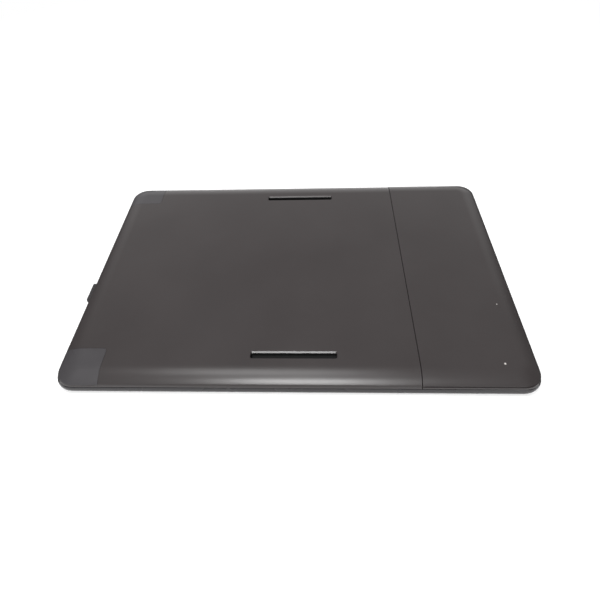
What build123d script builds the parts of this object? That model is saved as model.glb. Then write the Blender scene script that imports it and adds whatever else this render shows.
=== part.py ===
from build123d import *
import math
import os

# A 13 inch pen display lying on its screen, the way it is put down to show its back.
# X runs along the long side towards the key end, Y across the body, Z up through the back.
# The origin is the middle of the face that it rests on. All lengths are in millimetres.

# Overall form
tablet_length = 375.5
tablet_width = 248.0
tablet_height = 14.0
corner_radius = 21.0

# Clearances and cuts
overrun = 6.0
piece_gap = 0.3
slip_gap = 0.15
seat_gap = 0.1
hidden_sides = 24

# Rear covers: one wall all over, with an edge that falls away in two tangent arcs
cover_wall = 1.8
cover_inset = 1.3
edge_run_share = 0.85
edge_tight_radius = 3.4
end_cover_length = 91.3
end_cover_step = 0.3
end_cover_seam = 0.5
end_edge_share = 0.8
end_rim_gap = 0.4
joggle_length = 9.5
joggle_depth = 2.6
joggle_wall = 1.5
joggle_root = 1.8
joggle_from_side = 26.0
lip_thickness = 0.9
lip_depth = 1.1
lip_root = 1.3
rib_thickness = 1.0
rib_height = 0.9
rib_columns = 6
rib_rows = 3
rib_from_side = 24.0

# Slots for the stand's hooks, with a thickened mouth and a tub behind each
slot_length = 67.4
slot_width = 4.7
slot_from_side = 26.0
slot_mouth_depth = 2.8
slot_radius = 1.2
slot_chamfer = 0.5
tub_wall = 0.8
tub_floor_depth = 5.2
tub_undercut = 1.0

# Rubber pads let into the two corners away from the keys
pad_length = 37.6
pad_width = 32.0
pad_thickness = 1.0
pad_lower_edge = 8.4
pad_corner_radius = 3.0

# Front bezel: a rounded rim with a shelf that carries the glass
rim_height = 6.5
rim_wall = 2.6
rim_foot_inset = 1.6
rim_belly_height = 3.5
rim_top_inset = 1.0
shelf_thickness = 1.2
boss_radius = 3.0

# Front glass and its tape
glass_thickness = 1.1
glass_inner_radius = 1.0
tape_thickness = 0.2
tape_inset = 1.5

# Screen module
tray_from_end = 22.85
tray_from_side = 34.25
lcd_gap = 0.2
lcd_thickness = 1.1
guide_thickness = 1.8
reflector_thickness = 0.2
tray_sheet = 0.4
tray_side_gap = 0.6
led_bar_width = 3.0
led_bar_height = 1.4
flex_room = 4.5
tray_to_strip = 3.0

# Pen sensor behind the screen module
sensor_gap = 0.2
sensor_thickness = 0.8
shield_thickness = 0.4
shield_overlap = 0.8

# Cast middle frame
frame_gap = 0.3
frame_thickness = 0.8
frame_rim_beyond = 3.5
frame_from_side = 13.0
frame_boss_from_side = 17.5
frame_corner_radius = 6.0
frame_rib_height = 0.9
frame_rib_thickness = 1.2
frame_window_columns = 5
frame_window_rows = 3
frame_row_pitch_share = 0.18
frame_web_across = 12.0
frame_web_along = 18.0

# Machine screws
screw_radius = 0.95
screw_hole_radius = 1.05
screw_head_radius = 1.9
screw_head_height = 0.8
screw_length = 4.0
pad_screw_length = 7.0
flange_screw_length = 3.0

# Circuit boards
board_thickness = 1.0
board_standoff = 0.4
main_board_share = 0.393
main_board_edge_inset = 6.8
display_board_length = 140.0
display_board_width = 17.0
display_board_from_tray_side = 2.75
display_board_overlap = 21.0
boards_apart = 12.0
pen_board_length = 60.0
pen_board_share = 0.414
pen_board_from_main = 16.0
chip_side = 14.0
chip_height = 1.3
small_chip_side = 7.0
small_chip_height = 1.0
connector_width = 4.0
connector_end = 1.5
connector_height = 1.2
ribbon_thickness = 0.2
key_ribbon_width = 12.0
key_ribbon_from_side = 14.0
display_ribbon_width = 40.0
sensor_ribbon_width = 24.0
video_ribbon_width = 6.0

# Key strip at the right-hand end
key_panel_width = 38.9
key_panel_thickness = 1.2
key_length = 26.0
key_width = 13.0
key_pitch = 15.6
key_corner_radius = 3.0
key_face_height = 0.5
key_travel = 0.5
key_hole_gap = 0.35
key_flange_gap = 0.35
key_flange_reach = 1.3
key_flange_height = 0.8
key_edge = 0.35
key_mark_length = 5.0
key_mark_width = 1.0
key_mark_height = 0.2
key_stem_radius = 1.6
ring_radius = 18.0
ring_hole_radius = 6.7
ring_to_key = 6.0
ring_face_height = 0.75
ring_plate_top = 2.5
ring_tilt_gap = 0.6
ring_hollow_depth = 0.35
seat_rib_radius = 11.0
seat_rib_width = 2.0
carrier_height = 0.8
pivot_height = 0.4
pivot_length = 2.4
home_radius = 6.1
home_face_height = 0.9
home_flange_radius = 7.9
key_board_width = 34.0
key_board_length = 132.0
key_board_height = 5.6
switch_radius = 2.4
switch_height = 0.85
key_board_screw_x = 13.5
key_board_screw_y = 61.0

# Power button, status light and cable socket in the edge away from the keys
power_button_length = 21.0
power_button_height = 4.8
power_button_lift = 0.4
power_button_proud = 1.95
power_button_travel = 0.6
power_button_radius = 2.1
power_button_edge = 0.7
power_ear_length = 2.2
power_ear_height = 2.2
power_ear_thickness = 0.8
power_nub_length = 0.4
power_nub_width = 2.4
power_switch_length = 6.0
power_switch_width = 3.6
power_switch_drop = 1.5
light_pipe_radius = 0.9
light_pipe_recess = 0.5
light_pipe_length = 4.7
light_pipe_to_button = 7.0
light_pipe_from_board_side = 13.5
socket_from_board_side = 13.0
socket_length = 25.0
socket_height = 4.5
socket_depth = 12.0
socket_wall = 0.4
socket_set_back = 1.4
socket_back = 2.5
socket_corner_radius = 1.2
contact_count = 10
contact_width = 0.9
contact_length = 2.0
contact_height = 0.5

# Heights worked out from the stack, from the resting face up
shelf_bottom = glass_thickness + tape_thickness
shelf_top = shelf_bottom + shelf_thickness
lcd_bottom = shelf_bottom + lcd_gap
lcd_top = lcd_bottom + lcd_thickness
guide_top = lcd_top + guide_thickness
reflector_top = guide_top + reflector_thickness
tray_top = reflector_top + tray_sheet
sensor_bottom = tray_top + sensor_gap
sensor_top = sensor_bottom + sensor_thickness
shield_top = sensor_top + shield_thickness
frame_bottom = shield_top + frame_gap
frame_top = frame_bottom + frame_thickness
board_bottom = frame_top + board_standoff
board_top = board_bottom + board_thickness
main_back = tablet_height - end_cover_step
cover_bottom = rim_height + seat_gap
end_cover_bottom = rim_height + end_rim_gap

# Places in plan
half_length = tablet_length / 2
half_width = tablet_width / 2
corner_x = half_length - corner_radius
corner_y = half_width - corner_radius
seam_x = half_length - end_cover_length
glass_inset = rim_wall + slip_gap
strip_left = half_length - glass_inset - key_panel_width
strip_x = strip_left + key_panel_width / 2
slot_centre_y = half_width - slot_from_side
tray_left = -half_length + tray_from_end
tray_right = strip_left - tray_to_strip
tray_length = tray_right - tray_left
tray_width = tablet_width - 2 * tray_from_side
screen_x = (tray_left + tray_right) / 2
frame_left = tray_left - frame_rim_beyond
frame_right = tray_right
frame_boss_y = half_width - frame_boss_from_side
display_y = -(tray_width / 2 - display_board_from_tray_side - display_board_width / 2)
main_board_length = main_board_share * tray_length
main_board_width = 2 * (-display_y - display_board_width / 2 - boards_apart)
main_left = -half_length + main_board_edge_inset
main_right = main_left + main_board_length
pen_board_width = pen_board_share * main_board_width
light_y = -(main_board_width / 2 - light_pipe_from_board_side)
power_button_y = light_y + light_pipe_to_button + power_button_length / 2
socket_y = main_board_width / 2 - socket_from_board_side
rim_inner_x = -(half_length - rim_wall)

# Round solids stand on the height that they are placed at
on_floor = (Align.CENTER, Align.CENTER, Align.MIN)


def block(x_low, x_high, y_low, y_high, z_low, z_high):
    """Straight block between two corners."""
    solid = Box(x_high - x_low, y_high - y_low, z_high - z_low, align=Align.MIN)
    return Pos(x_low, y_low, z_low) * solid


def disc(radius, x, y, z_low, z_high):
    """Upright round bar between two heights."""
    return Pos(x, y, z_low) * Cylinder(radius, z_high - z_low, align=on_floor)


def post(radius, x, y, z_low, z_high, sides=6):
    """Upright many-sided bar, for hidden round things and the small ones that repeat."""
    return Pos(x, y, z_low) * extrude(RegularPolygon(radius, sides), z_high - z_low)


def slab(outline, z_low, z_high):
    """Plan outline raised between two heights."""
    return extrude(Pos(0, 0, z_low) * outline, z_high - z_low)


def plan(inset):
    """Outline of the body drawn in by an inset."""
    return RectangleRounded(tablet_length - 2 * inset, tablet_width - 2 * inset, corner_radius - inset)


def half_plan(x_low, x_high, inset, inner_radius):
    """Body outline cut off straight at one end, where its two new corners get a small radius."""
    end = plan(inset) & Pos((x_low + x_high) / 2, 0) * Rectangle(x_high - x_low, tablet_width)
    cut_x = x_high if x_high < half_length - inset else x_low
    new_corners = [v for v in end.vertices() if abs(v.X - cut_x) < inner_radius]
    return fillet(new_corners, inner_radius)


def sheet(length, width, x, y, z_low, z_high):
    """Flat square-cornered sheet centred on a place in plan."""
    return block(x - length / 2, x + length / 2, y - width / 2, y + width / 2, z_low, z_high)


def rounded(length, width, radius, x, y):
    """Rounded rectangle at a place in plan."""
    return Pos(x, y) * RectangleRounded(length, width, radius)


def edge_bar(length, height, radius, y, z, x_low, x_high):
    """Bar along X with a rounded section, as it passes through the side wall."""
    section = Plane.YZ * Pos(y, z) * RectangleRounded(length, height, radius)
    return Pos(x_low, 0, 0) * extrude(section, x_high - x_low)


def wrap(section, z_low, z_high):
    """Carry an edge section round the plan outline and fill it to the middle.

    The section is drawn with its first axis measured outwards from the corner centres.
    """
    corner = revolve(Plane.XZ * section, Axis.Z, 90)
    long_side = Pos(0, -corner_y, 0) * extrude(Plane.XZ * section, -2 * corner_y)
    short_side = Pos(0, -corner_x, 0) * extrude(Plane.XZ * section, -2 * corner_x)
    centre = block(-corner_x, corner_x, -corner_y, corner_y, z_low, z_high)
    pieces = []
    for turn, x, y in ((0, 1, 1), (90, -1, 1), (180, -1, -1), (270, 1, -1)):
        pieces.append(Pos(x * corner_x, y * corner_y, 0) * Rot(0, 0, turn) * corner)
    for turn in (0, 180):
        pieces.append(Rot(0, 0, turn) * Pos(corner_x, 0, 0) * long_side)
        pieces.append(Rot(0, 0, turn + 90) * Pos(corner_y, 0, 0) * short_side)
    return centre + pieces


def crowned_form(inset, z_low, z_top, run_share, depth, drop=0.0):
    """Solid under a back face whose edge is a tight arc that runs into a wide one.

    The depth draws the whole surface inwards, where flats stand in for the arcs, and the
    drop carries its foot straight down.
    """
    outer = corner_radius - inset
    run = outer * run_share
    rise = z_top - z_low
    tight = edge_tight_radius
    wide = ((run - tight) ** 2 + rise ** 2 - tight ** 2) / (2 * (rise - tight))
    lean = math.atan2(run - tight, wide - rise)
    tight_centre = (outer - tight, z_low)
    wide_centre = (outer - run, z_top - wide)
    tight_arc = tight - depth
    wide_arc = wide - depth

    def on_arc(centre, radius, tilt):
        return (centre[0] + radius * math.sin(tilt), centre[1] + radius * math.cos(tilt))

    upright = math.pi / 2
    steep = [on_arc(tight_centre, tight_arc, tilt) for tilt in (upright, (upright + lean) / 2, lean)]
    shallow = [on_arc(wide_centre, wide_arc, tilt) for tilt in (lean, lean / 2, 0)]
    low = z_low - drop
    sides = [Line((0, low), (outer - depth, low))]
    if drop > 0:
        sides.append(Line((outer - depth, low), steep[0]))
    if depth > 0:
        sides += Polyline(*steep, *shallow[1:]).edges()
    else:
        sides += [ThreePointArc(*steep), ThreePointArc(*shallow)]
    sides.append(Line(shallow[-1], (0, z_top - depth)))
    sides.append(Line((0, z_top - depth), (0, low)))
    section = make_face(Wire(sides))
    return wrap(section, low, z_top - depth)


def main_form(depth, drop=0.0):
    """Outer form of the main rear cover, drawn in by a depth."""
    return crowned_form(cover_inset, cover_bottom, main_back, edge_run_share, depth, drop)


def end_form(depth, drop=0.0):
    """Outer form of the cover over the key end, a little fuller and prouder."""
    inset = cover_inset - end_cover_step
    return crowned_form(inset, end_cover_bottom, tablet_height, end_edge_share, depth, drop)


def screws(places, seat, length):
    """Screws standing in their holes, heads up."""
    group = []
    for x, y in places:
        shank = post(screw_radius, x, y, seat - length, seat)
        head = post(screw_head_radius, x, y, seat, seat + screw_head_height)
        group.append(shank + head)
    return Compound(children=group)


def side_bar(radius, y, z, x_low, x_high):
    """Round bar along X, as it passes through the side wall."""
    section = Plane.YZ * Pos(y, z) * Circle(radius)
    return Pos(x_low, 0, 0) * extrude(section, x_high - x_low)


def ribbon_along_x(points, width, y):
    """Flat flexible cable that runs and bends in the XZ plane, centred on a place across it."""
    strip = Plane.XZ * trace(Polyline(*points), ribbon_thickness)
    return Pos(0, y, 0) * extrude(strip, width / 2, both=True)


def ribbon_along_y(points, width, x):
    """Flat flexible cable that runs and bends in the YZ plane, centred on a place across it."""
    strip = Plane.YZ * trace(Polyline(*points), ribbon_thickness)
    return Pos(x, 0, 0) * extrude(strip, width / 2, both=True)


nodes = {}

# Screw places, each taken from what the screw holds
frame_screw_shares = (-0.86, -0.5, 0.5, 0.86)
frame_screws_at = []
for share in frame_screw_shares:
    for side in (-1, 1):
        frame_screws_at.append((screen_x + share * tray_length / 2, side * frame_boss_y))
pad_screw_x = -(half_length - pad_length / 2 - boss_radius)
pad_screws_at = [(pad_screw_x, side * (half_width - pad_width / 2 - boss_radius)) for side in (-1, 1)]
joggle_screw_x = seam_x + joggle_length / 2
joggle_screw_shares = (-0.7, -0.16, 0.16, 0.7)
joggle_screws_at = [(joggle_screw_x, share * half_width) for share in joggle_screw_shares]
key_board_screws_at = []
for side_x in (-1, 1):
    for side_y in (-1, 1):
        key_board_screws_at.append((strip_x + side_x * key_board_screw_x, side_y * key_board_screw_y))
pad_screw_seat = main_back - pad_thickness - screw_head_height - piece_gap
joggle_seat = main_back - joggle_depth
joggle_low = joggle_seat - joggle_wall

# Key places along the strip, two on each side of the ring
key_first_y = ring_radius + ring_to_key + key_width / 2
key_places = [key_first_y + key_pitch, key_first_y, -key_first_y, -key_first_y - key_pitch]

# Openings through the side wall
power_low = shelf_top + power_button_lift
power_z = power_low + power_button_height / 2
socket_low = shelf_top + socket_wall
socket_z = socket_low + socket_height / 2
wall_out = -half_length - overrun
wall_in = rim_inner_x + overrun / 2
power_hole = edge_bar(
    power_button_length + 2 * piece_gap,
    power_button_height + 2 * piece_gap,
    power_button_radius + piece_gap,
    power_button_y,
    power_z,
    wall_out,
    wall_in,
)
socket_hole = edge_bar(
    socket_length, socket_height, socket_corner_radius, socket_y, socket_z, wall_out, wall_in
)
light_hole = side_bar(light_pipe_radius + seat_gap, light_y, power_z, wall_out, wall_in)

# Front bezel
rim_outer = corner_radius - rim_foot_inset
rim_crest = corner_radius - rim_top_inset
rim_sides = [
    Line((0, 0), (rim_outer, 0)),
    ThreePointArc((rim_outer, 0), (corner_radius, rim_belly_height), (rim_crest, rim_height)),
    Line((rim_crest, rim_height), (0, rim_height)),
    Line((0, rim_height), (0, 0)),
]
bezel = wrap(make_face(Wire(rim_sides)), 0, rim_height)
bezel -= slab(plan(rim_wall), -overrun, shelf_bottom)
bezel -= slab(plan(rim_wall), shelf_top, rim_height + overrun)
window_length = tray_length + 2 * piece_gap
window_width = tray_width + 2 * flex_room
window = sheet(window_length, window_width, screen_x, 0, -overrun, shelf_top + overrun)
bezel -= window
bosses = [post(boss_radius, x, y, shelf_top, frame_bottom) for x, y in frame_screws_at]
bosses += [post(boss_radius, x, y, shelf_top, key_board_height) for x, y in key_board_screws_at]
bosses += [post(boss_radius, x, y, shelf_top, frame_top) for x, y in pad_screws_at]
bezel += bosses
for x, y in frame_screws_at + key_board_screws_at + pad_screws_at:
    bezel -= post(screw_hole_radius, x, y, shelf_top, rim_height + overrun)
opening_length = key_length + 2 * key_hole_gap
opening_width = key_width + 2 * key_hole_gap
opening_top = shelf_top + overrun
ring_room = (ring_radius + key_hole_gap) / math.cos(math.pi / hidden_sides)
bezel -= post(ring_room, strip_x, 0, -overrun, opening_top, hidden_sides)
for y in key_places:
    bezel -= sheet(opening_length, opening_width, strip_x, y, -overrun, opening_top)
nodes["front_bezel"] = bezel - power_hole - socket_hole - light_hole

# Front glass, its tape and the panel round the keys
glass_right = strip_left - slip_gap
glass_outline = half_plan(-half_length, glass_right, glass_inset, glass_inner_radius)
nodes["display_glass"] = slab(glass_outline, 0, glass_thickness)
tape_outline = half_plan(-half_length, glass_right - tape_inset, glass_inset + tape_inset, glass_inner_radius)
nodes["glass_tape"] = slab(tape_outline, glass_thickness, shelf_bottom) - window
panel_outline = half_plan(strip_left, half_length, glass_inset, glass_inner_radius)
key_panel = slab(panel_outline, shelf_bottom - key_panel_thickness, shelf_bottom)
for y in key_places:
    opening = rounded(opening_length, opening_width, key_corner_radius + key_hole_gap, strip_x, y)
    key_panel -= slab(opening, -overrun, opening_top)
nodes["key_panel"] = key_panel - disc(ring_radius + key_hole_gap, strip_x, 0, -overrun, opening_top)

# Shortcut keys: a cap in the panel, a flange that stops it and a stem over its switch
flange_bottom = shelf_top + key_flange_gap
flange_top = flange_bottom + key_flange_height
switch_face = key_board_height - switch_height
stem_end = switch_face - key_travel - piece_gap
for number, y in enumerate(key_places, start=1):
    cap = slab(rounded(key_length, key_width, key_corner_radius, strip_x, y), key_face_height, flange_bottom)
    cap = chamfer(cap.edges().group_by(Axis.Z)[0], key_edge)
    flange_length = key_length + 2 * key_flange_reach
    flange_width = key_width - 2 * key_hole_gap
    key = cap + sheet(flange_length, flange_width, strip_x, y, flange_bottom, flange_top)
    key += post(key_stem_radius, strip_x, y, flange_top, stem_end)
    if abs(y) < key_first_y + key_pitch / 2:
        mark_face = key_face_height - key_mark_height
        key += sheet(key_mark_length, key_mark_width, strip_x, y, mark_face, key_face_height + key_edge)
    nodes[f"shortcut_key_{number}"] = key

# Rocker ring: dished cap, outer flange, seat rib over the carrier and four stems
ring_flange_bottom = shelf_top + ring_tilt_gap
ring_flange_top = ring_flange_bottom + key_flange_height
seat_height = ring_flange_top
stem_x = ring_radius - key_flange_reach - key_stem_radius - piece_gap
ring = disc(ring_radius, strip_x, 0, ring_face_height, ring_plate_top)
ring = chamfer(ring.edges().group_by(Axis.Z)[0], key_edge)
ring += post(ring_radius, strip_x, 0, ring_plate_top, ring_flange_top, hidden_sides)
ring_reach = ring_radius + key_flange_reach
ring += post(ring_reach, strip_x, 0, ring_flange_bottom, ring_flange_top, hidden_sides)
ring_hollow = ring_radius - key_flange_reach
ring -= post(ring_hollow, strip_x, 0, ring_plate_top, ring_flange_top + overrun, hidden_sides)
rib_outer = seat_rib_radius + seat_rib_width / 2
rib_inner = seat_rib_radius - seat_rib_width / 2
seat_rib = post(rib_outer, strip_x, 0, ring_plate_top, seat_height, hidden_sides)
ring += seat_rib - post(rib_inner, strip_x, 0, ring_plate_top, seat_height, hidden_sides)
for turn in (0, 90, 180, 270):
    place = Pos(strip_x, 0, 0) * Rot(0, 0, turn)
    ring += place * post(key_stem_radius, stem_x, 0, ring_plate_top, switch_face - piece_gap - seat_gap)
dish = Cone(ring_radius - 2 * key_edge, ring_hole_radius, ring_hollow_depth, align=on_floor)
ring -= Pos(strip_x, 0, ring_face_height) * dish
nodes["rocker_ring"] = ring - disc(ring_hole_radius, strip_x, 0, -overrun, ring_plate_top + overrun)

# Carrier of the ring: two half-round pivots meet the ring, two more meet the board
carrier_bottom = seat_height + seat_gap + pivot_height
carrier_top = carrier_bottom + carrier_height
carrier = post(rib_outer, strip_x, 0, carrier_bottom, carrier_top, hidden_sides)
carrier -= post(rib_inner, strip_x, 0, carrier_bottom, carrier_top, hidden_sides)
for side in (-1, 1):
    ring_pivot = Pos(strip_x, side * seat_rib_radius, carrier_bottom) * Rot(90, 0, 0)
    carrier += ring_pivot * Cylinder(pivot_height, seat_rib_width - seat_gap)
    board_pivot_height = key_board_height - seat_gap - carrier_top
    board_pivot = block(
        strip_x + side * seat_rib_radius - pivot_length / 2,
        strip_x + side * seat_rib_radius + pivot_length / 2,
        -board_pivot_height / 2,
        board_pivot_height / 2,
        carrier_top,
        key_board_height - seat_gap,
    )
    carrier += board_pivot & post(rib_outer, strip_x, 0, carrier_top, key_board_height, hidden_sides)
nodes["rocker_carrier"] = carrier

# Home button in the middle of the ring
home = disc(home_radius, strip_x, 0, home_face_height, flange_bottom + seat_gap)
home = chamfer(home.edges().group_by(Axis.Z)[0], key_edge)
home += post(home_flange_radius, strip_x, 0, flange_bottom + seat_gap, flange_top, hidden_sides)
nodes["home_button"] = home + post(key_stem_radius, strip_x, 0, flange_top, stem_end)

# Key board with its switches and screws
key_board_top = key_board_height + board_thickness
key_board = sheet(key_board_width, key_board_length, strip_x, 0, key_board_height, key_board_top)
for x, y in key_board_screws_at:
    key_board -= post(screw_hole_radius, x, y, key_board_height, key_board_top)
nodes["key_board"] = key_board
switch_places = [(strip_x, y) for y in key_places] + [(strip_x, 0)]
switch_places += [(strip_x + side * stem_x, 0) for side in (-1, 1)]
switch_places += [(strip_x, side * stem_x) for side in (-1, 1)]
nodes["key_switches"] = Compound(
    children=[post(switch_radius, x, y, switch_face, key_board_height) for x, y in switch_places]
)
nodes["key_board_screws"] = screws(key_board_screws_at, key_board_top, key_board_top - shelf_top - piece_gap)

# Screen module
lcd_length = tray_length - 2 * (tray_sheet + tray_side_gap)
lcd_width = tray_width - 2 * (tray_sheet + tray_side_gap)
nodes["lcd_cell"] = sheet(lcd_length, lcd_width, screen_x, 0, lcd_bottom, lcd_top)
guide_low_y = -lcd_width / 2 + led_bar_width + piece_gap
nodes["light_guide"] = block(
    screen_x - lcd_length / 2, screen_x + lcd_length / 2, guide_low_y, lcd_width / 2, lcd_top, guide_top
)
nodes["backlight_bar"] = block(
    screen_x - lcd_length / 2,
    screen_x + lcd_length / 2,
    -lcd_width / 2,
    -lcd_width / 2 + led_bar_width,
    guide_top - led_bar_height,
    guide_top,
)
nodes["reflector_sheet"] = sheet(lcd_length, lcd_width, screen_x, 0, guide_top, reflector_top)
tray = sheet(tray_length, tray_width, screen_x, 0, lcd_bottom, tray_top)
inside_length = tray_length - 2 * tray_sheet
inside_width = tray_width - 2 * tray_sheet
nodes["display_tray"] = tray - sheet(inside_length, inside_width, screen_x, 0, -overrun, reflector_top)

# Pen sensor and its shield
shield_length = tray_length - 2 * shield_overlap
shield_width = tray_width - 2 * shield_overlap
nodes["pen_sensor_board"] = sheet(tray_length, tray_width, screen_x, 0, sensor_bottom, sensor_top)
nodes["sensor_shield"] = sheet(shield_length, shield_width, screen_x, 0, sensor_top, shield_top)

# Middle frame: cast plate with windows, a rib round its rim and raised screw bosses
frame_x = (frame_left + frame_right) / 2
frame_length = frame_right - frame_left
frame_width = tablet_width - 2 * frame_from_side
middle = slab(rounded(frame_length, frame_width, frame_corner_radius, frame_x, 0), frame_bottom, frame_top)
column_pitch = frame_length / (frame_window_columns + 1)
row_pitch = frame_row_pitch_share * frame_width
for column in range(frame_window_columns):
    for row in range(frame_window_rows):
        x = frame_x + (column - (frame_window_columns - 1) / 2) * column_pitch
        y = (row - (frame_window_rows - 1) / 2) * row_pitch
        length = column_pitch - frame_web_across
        width = row_pitch - frame_web_along
        middle -= sheet(length, width, x, y, frame_bottom - overrun, frame_top + overrun)
rib_half = frame_boss_y - boss_radius
rib_inner_length = frame_length - 2 * frame_rib_thickness
rib_inner_width = 2 * (rib_half - frame_rib_thickness)
rim_rib = rounded(frame_length, 2 * rib_half, frame_corner_radius, frame_x, 0)
rim_rib -= rounded(rib_inner_length, rib_inner_width, frame_corner_radius, frame_x, 0)
rim_rib = slab(rim_rib, frame_top, frame_top + frame_rib_height)
main_x = (main_left + main_right) / 2
main_room = main_board_width + 2 * piece_gap
rim_rib -= sheet(main_board_length, main_room, main_x, 0, frame_top, tablet_height)
middle += rim_rib
middle += [post(boss_radius, x, y, frame_top, joggle_low - seat_gap) for x, y in joggle_screws_at]
pen_x = main_right + pen_board_from_main + pen_board_length / 2
display_x = main_right - display_board_overlap + display_board_length / 2
flex_slot_y = tray_width / 2 + flex_room / 2
flex_slots = (
    (display_x, -flex_slot_y, display_ribbon_width),
    (pen_x, flex_slot_y, sensor_ribbon_width),
)
for x, y, width in flex_slots:
    middle -= sheet(width + flex_room, flex_room, x, y, frame_bottom - overrun, frame_top + overrun)
for x, y in pad_screws_at:
    middle -= post(boss_radius + piece_gap, x, y, frame_bottom - overrun, frame_top + overrun)

# Boards on the frame, each on standoffs at its screws
boards = {
    "main_board": (main_board_length, main_board_width, main_x, 0),
    "pen_board": (pen_board_length, pen_board_width, pen_x, 0),
    "display_board": (display_board_length, display_board_width, display_x, display_y),
}
board_screw_shares = {
    "main_board": ((-0.33, 0.25), (-0.465, 0.465)),
    "pen_board": ((-0.44, 0.44), (-0.42, 0.42)),
    "display_board": ((-0.46, 0.46), (0,)),
}
board_screws_at = []
for name, (length, width, x, y) in boards.items():
    nodes[name] = sheet(length, width, x, y, board_bottom, board_top)
    for share_x in board_screw_shares[name][0]:
        for share_y in board_screw_shares[name][1]:
            place = (x + share_x * length, y + share_y * width)
            board_screws_at.append(place)
            middle += post(boss_radius, *place, frame_top, board_bottom)
            nodes[name] -= post(screw_hole_radius, *place, board_bottom, board_top)
for x, y in frame_screws_at + board_screws_at + joggle_screws_at:
    middle -= post(screw_hole_radius, x, y, frame_bottom - overrun, tablet_height)
nodes["middle_frame"] = middle
nodes["frame_screws"] = screws(frame_screws_at, frame_top, screw_length)
nodes["board_screws"] = screws(board_screws_at, board_top, board_top - frame_bottom)

# Chips: a share of the board along and across, with a side and a height
chip_shares = {
    "main_board": (
        (-0.1, 0.12, chip_side, chip_height),
        (0.16, 0.2, chip_side, chip_height),
        (0.16, -0.18, small_chip_side, small_chip_height),
        (-0.12, -0.22, small_chip_side, small_chip_height),
        (-0.28, 0.05, small_chip_side, small_chip_height),
    ),
    "pen_board": (
        (-0.12, 0.05, chip_side, chip_height),
        (0.22, 0.1, small_chip_side, small_chip_height),
        (0.22, -0.18, small_chip_side, small_chip_height),
    ),
    "display_board": (
        (-0.2, 0, small_chip_side, small_chip_height),
        (0.2, 0, small_chip_side, small_chip_height),
    ),
}
for name, (length, width, x, y) in boards.items():
    chips = []
    for share_x, share_y, side, height in chip_shares[name]:
        chip_x = x + share_x * length
        chip_y = y + share_y * width
        chips.append(sheet(side, side, chip_x, chip_y, board_top, board_top + height))
    nodes[f"{name}_chips"] = Compound(children=chips)

# Flat cables, each ending in a connector on its board
ribbon_z = board_top + connector_height / 2
crossing_z = frame_top + frame_rib_height + piece_gap
key_connector_x = main_right - connector_width
key_ribbon_y = -(main_board_width / 2 - key_ribbon_from_side)
key_board_left = strip_x - key_board_width / 2
key_ribbon_low = key_board_top + ribbon_thickness / 2
nodes["key_ribbon"] = ribbon_along_x(
    [
        (key_board_left + connector_width / 2, key_ribbon_low),
        (key_board_left - slip_gap, key_ribbon_low),
        (frame_right + frame_rib_thickness, crossing_z),
        (key_connector_x + 4 * connector_width, crossing_z),
        (key_connector_x + 2 * connector_width, ribbon_z),
        (key_connector_x + connector_width / 2, ribbon_z),
    ],
    key_ribbon_width,
    key_ribbon_y,
)
lcd_edge_y = -lcd_width / 2
display_connector_y = display_y - display_board_width / 2 + connector_width / 2 + piece_gap
display_turn_y = -flex_slot_y
display_leaves_z = (lcd_bottom + lcd_top) / 2
nodes["display_ribbon"] = ribbon_along_y(
    [
        (lcd_edge_y, display_leaves_z),
        (display_turn_y, display_leaves_z),
        (display_turn_y, ribbon_z),
        (display_connector_y - connector_width / 2, ribbon_z),
    ],
    display_ribbon_width,
    display_x,
)
nodes["display_tray"] -= block(
    display_x - display_ribbon_width / 2 - piece_gap,
    display_x + display_ribbon_width / 2 + piece_gap,
    -tray_width / 2 - overrun,
    lcd_edge_y - slip_gap,
    lcd_bottom - overrun,
    lcd_top,
)
pen_connector_y = pen_board_width / 2 - connector_width / 2 - piece_gap
sensor_leaves_z = sensor_top + ribbon_thickness / 2
nodes["sensor_ribbon"] = ribbon_along_y(
    [
        (tray_width / 2 - shield_overlap + slip_gap, sensor_leaves_z),
        (flex_slot_y, sensor_leaves_z),
        (flex_slot_y, frame_top + ribbon_thickness),
        (pen_connector_y + 2 * connector_width, frame_top + ribbon_thickness),
        (pen_connector_y + connector_width, ribbon_z),
        (pen_connector_y + connector_width / 2, ribbon_z),
    ],
    sensor_ribbon_width,
    pen_x,
)
video_x = main_right - display_board_overlap / 2
video_far_y = -main_board_width / 2 + connector_width / 2 + piece_gap
video_near_y = display_y + display_board_width / 2 - connector_width / 2 - piece_gap
nodes["video_ribbon"] = ribbon_along_y(
    [(video_near_y + connector_width / 2, ribbon_z), (video_far_y - connector_width / 2, ribbon_z)],
    video_ribbon_width,
    video_x,
)
connector_top = board_top + connector_height
key_connector_length = key_ribbon_width + 2 * connector_end
connector_blocks = [
    sheet(connector_width, key_connector_length, key_connector_x, key_ribbon_y, board_top, connector_top)
]
for x, y, ribbon_width in (
    (display_x, display_connector_y, display_ribbon_width),
    (pen_x, pen_connector_y, sensor_ribbon_width),
    (video_x, video_far_y, video_ribbon_width),
    (video_x, video_near_y, video_ribbon_width),
):
    length = ribbon_width + 2 * connector_end
    connector_blocks.append(sheet(length, connector_width, x, y, board_top, connector_top))
nodes["ribbon_connectors"] = Compound(children=connector_blocks)

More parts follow.
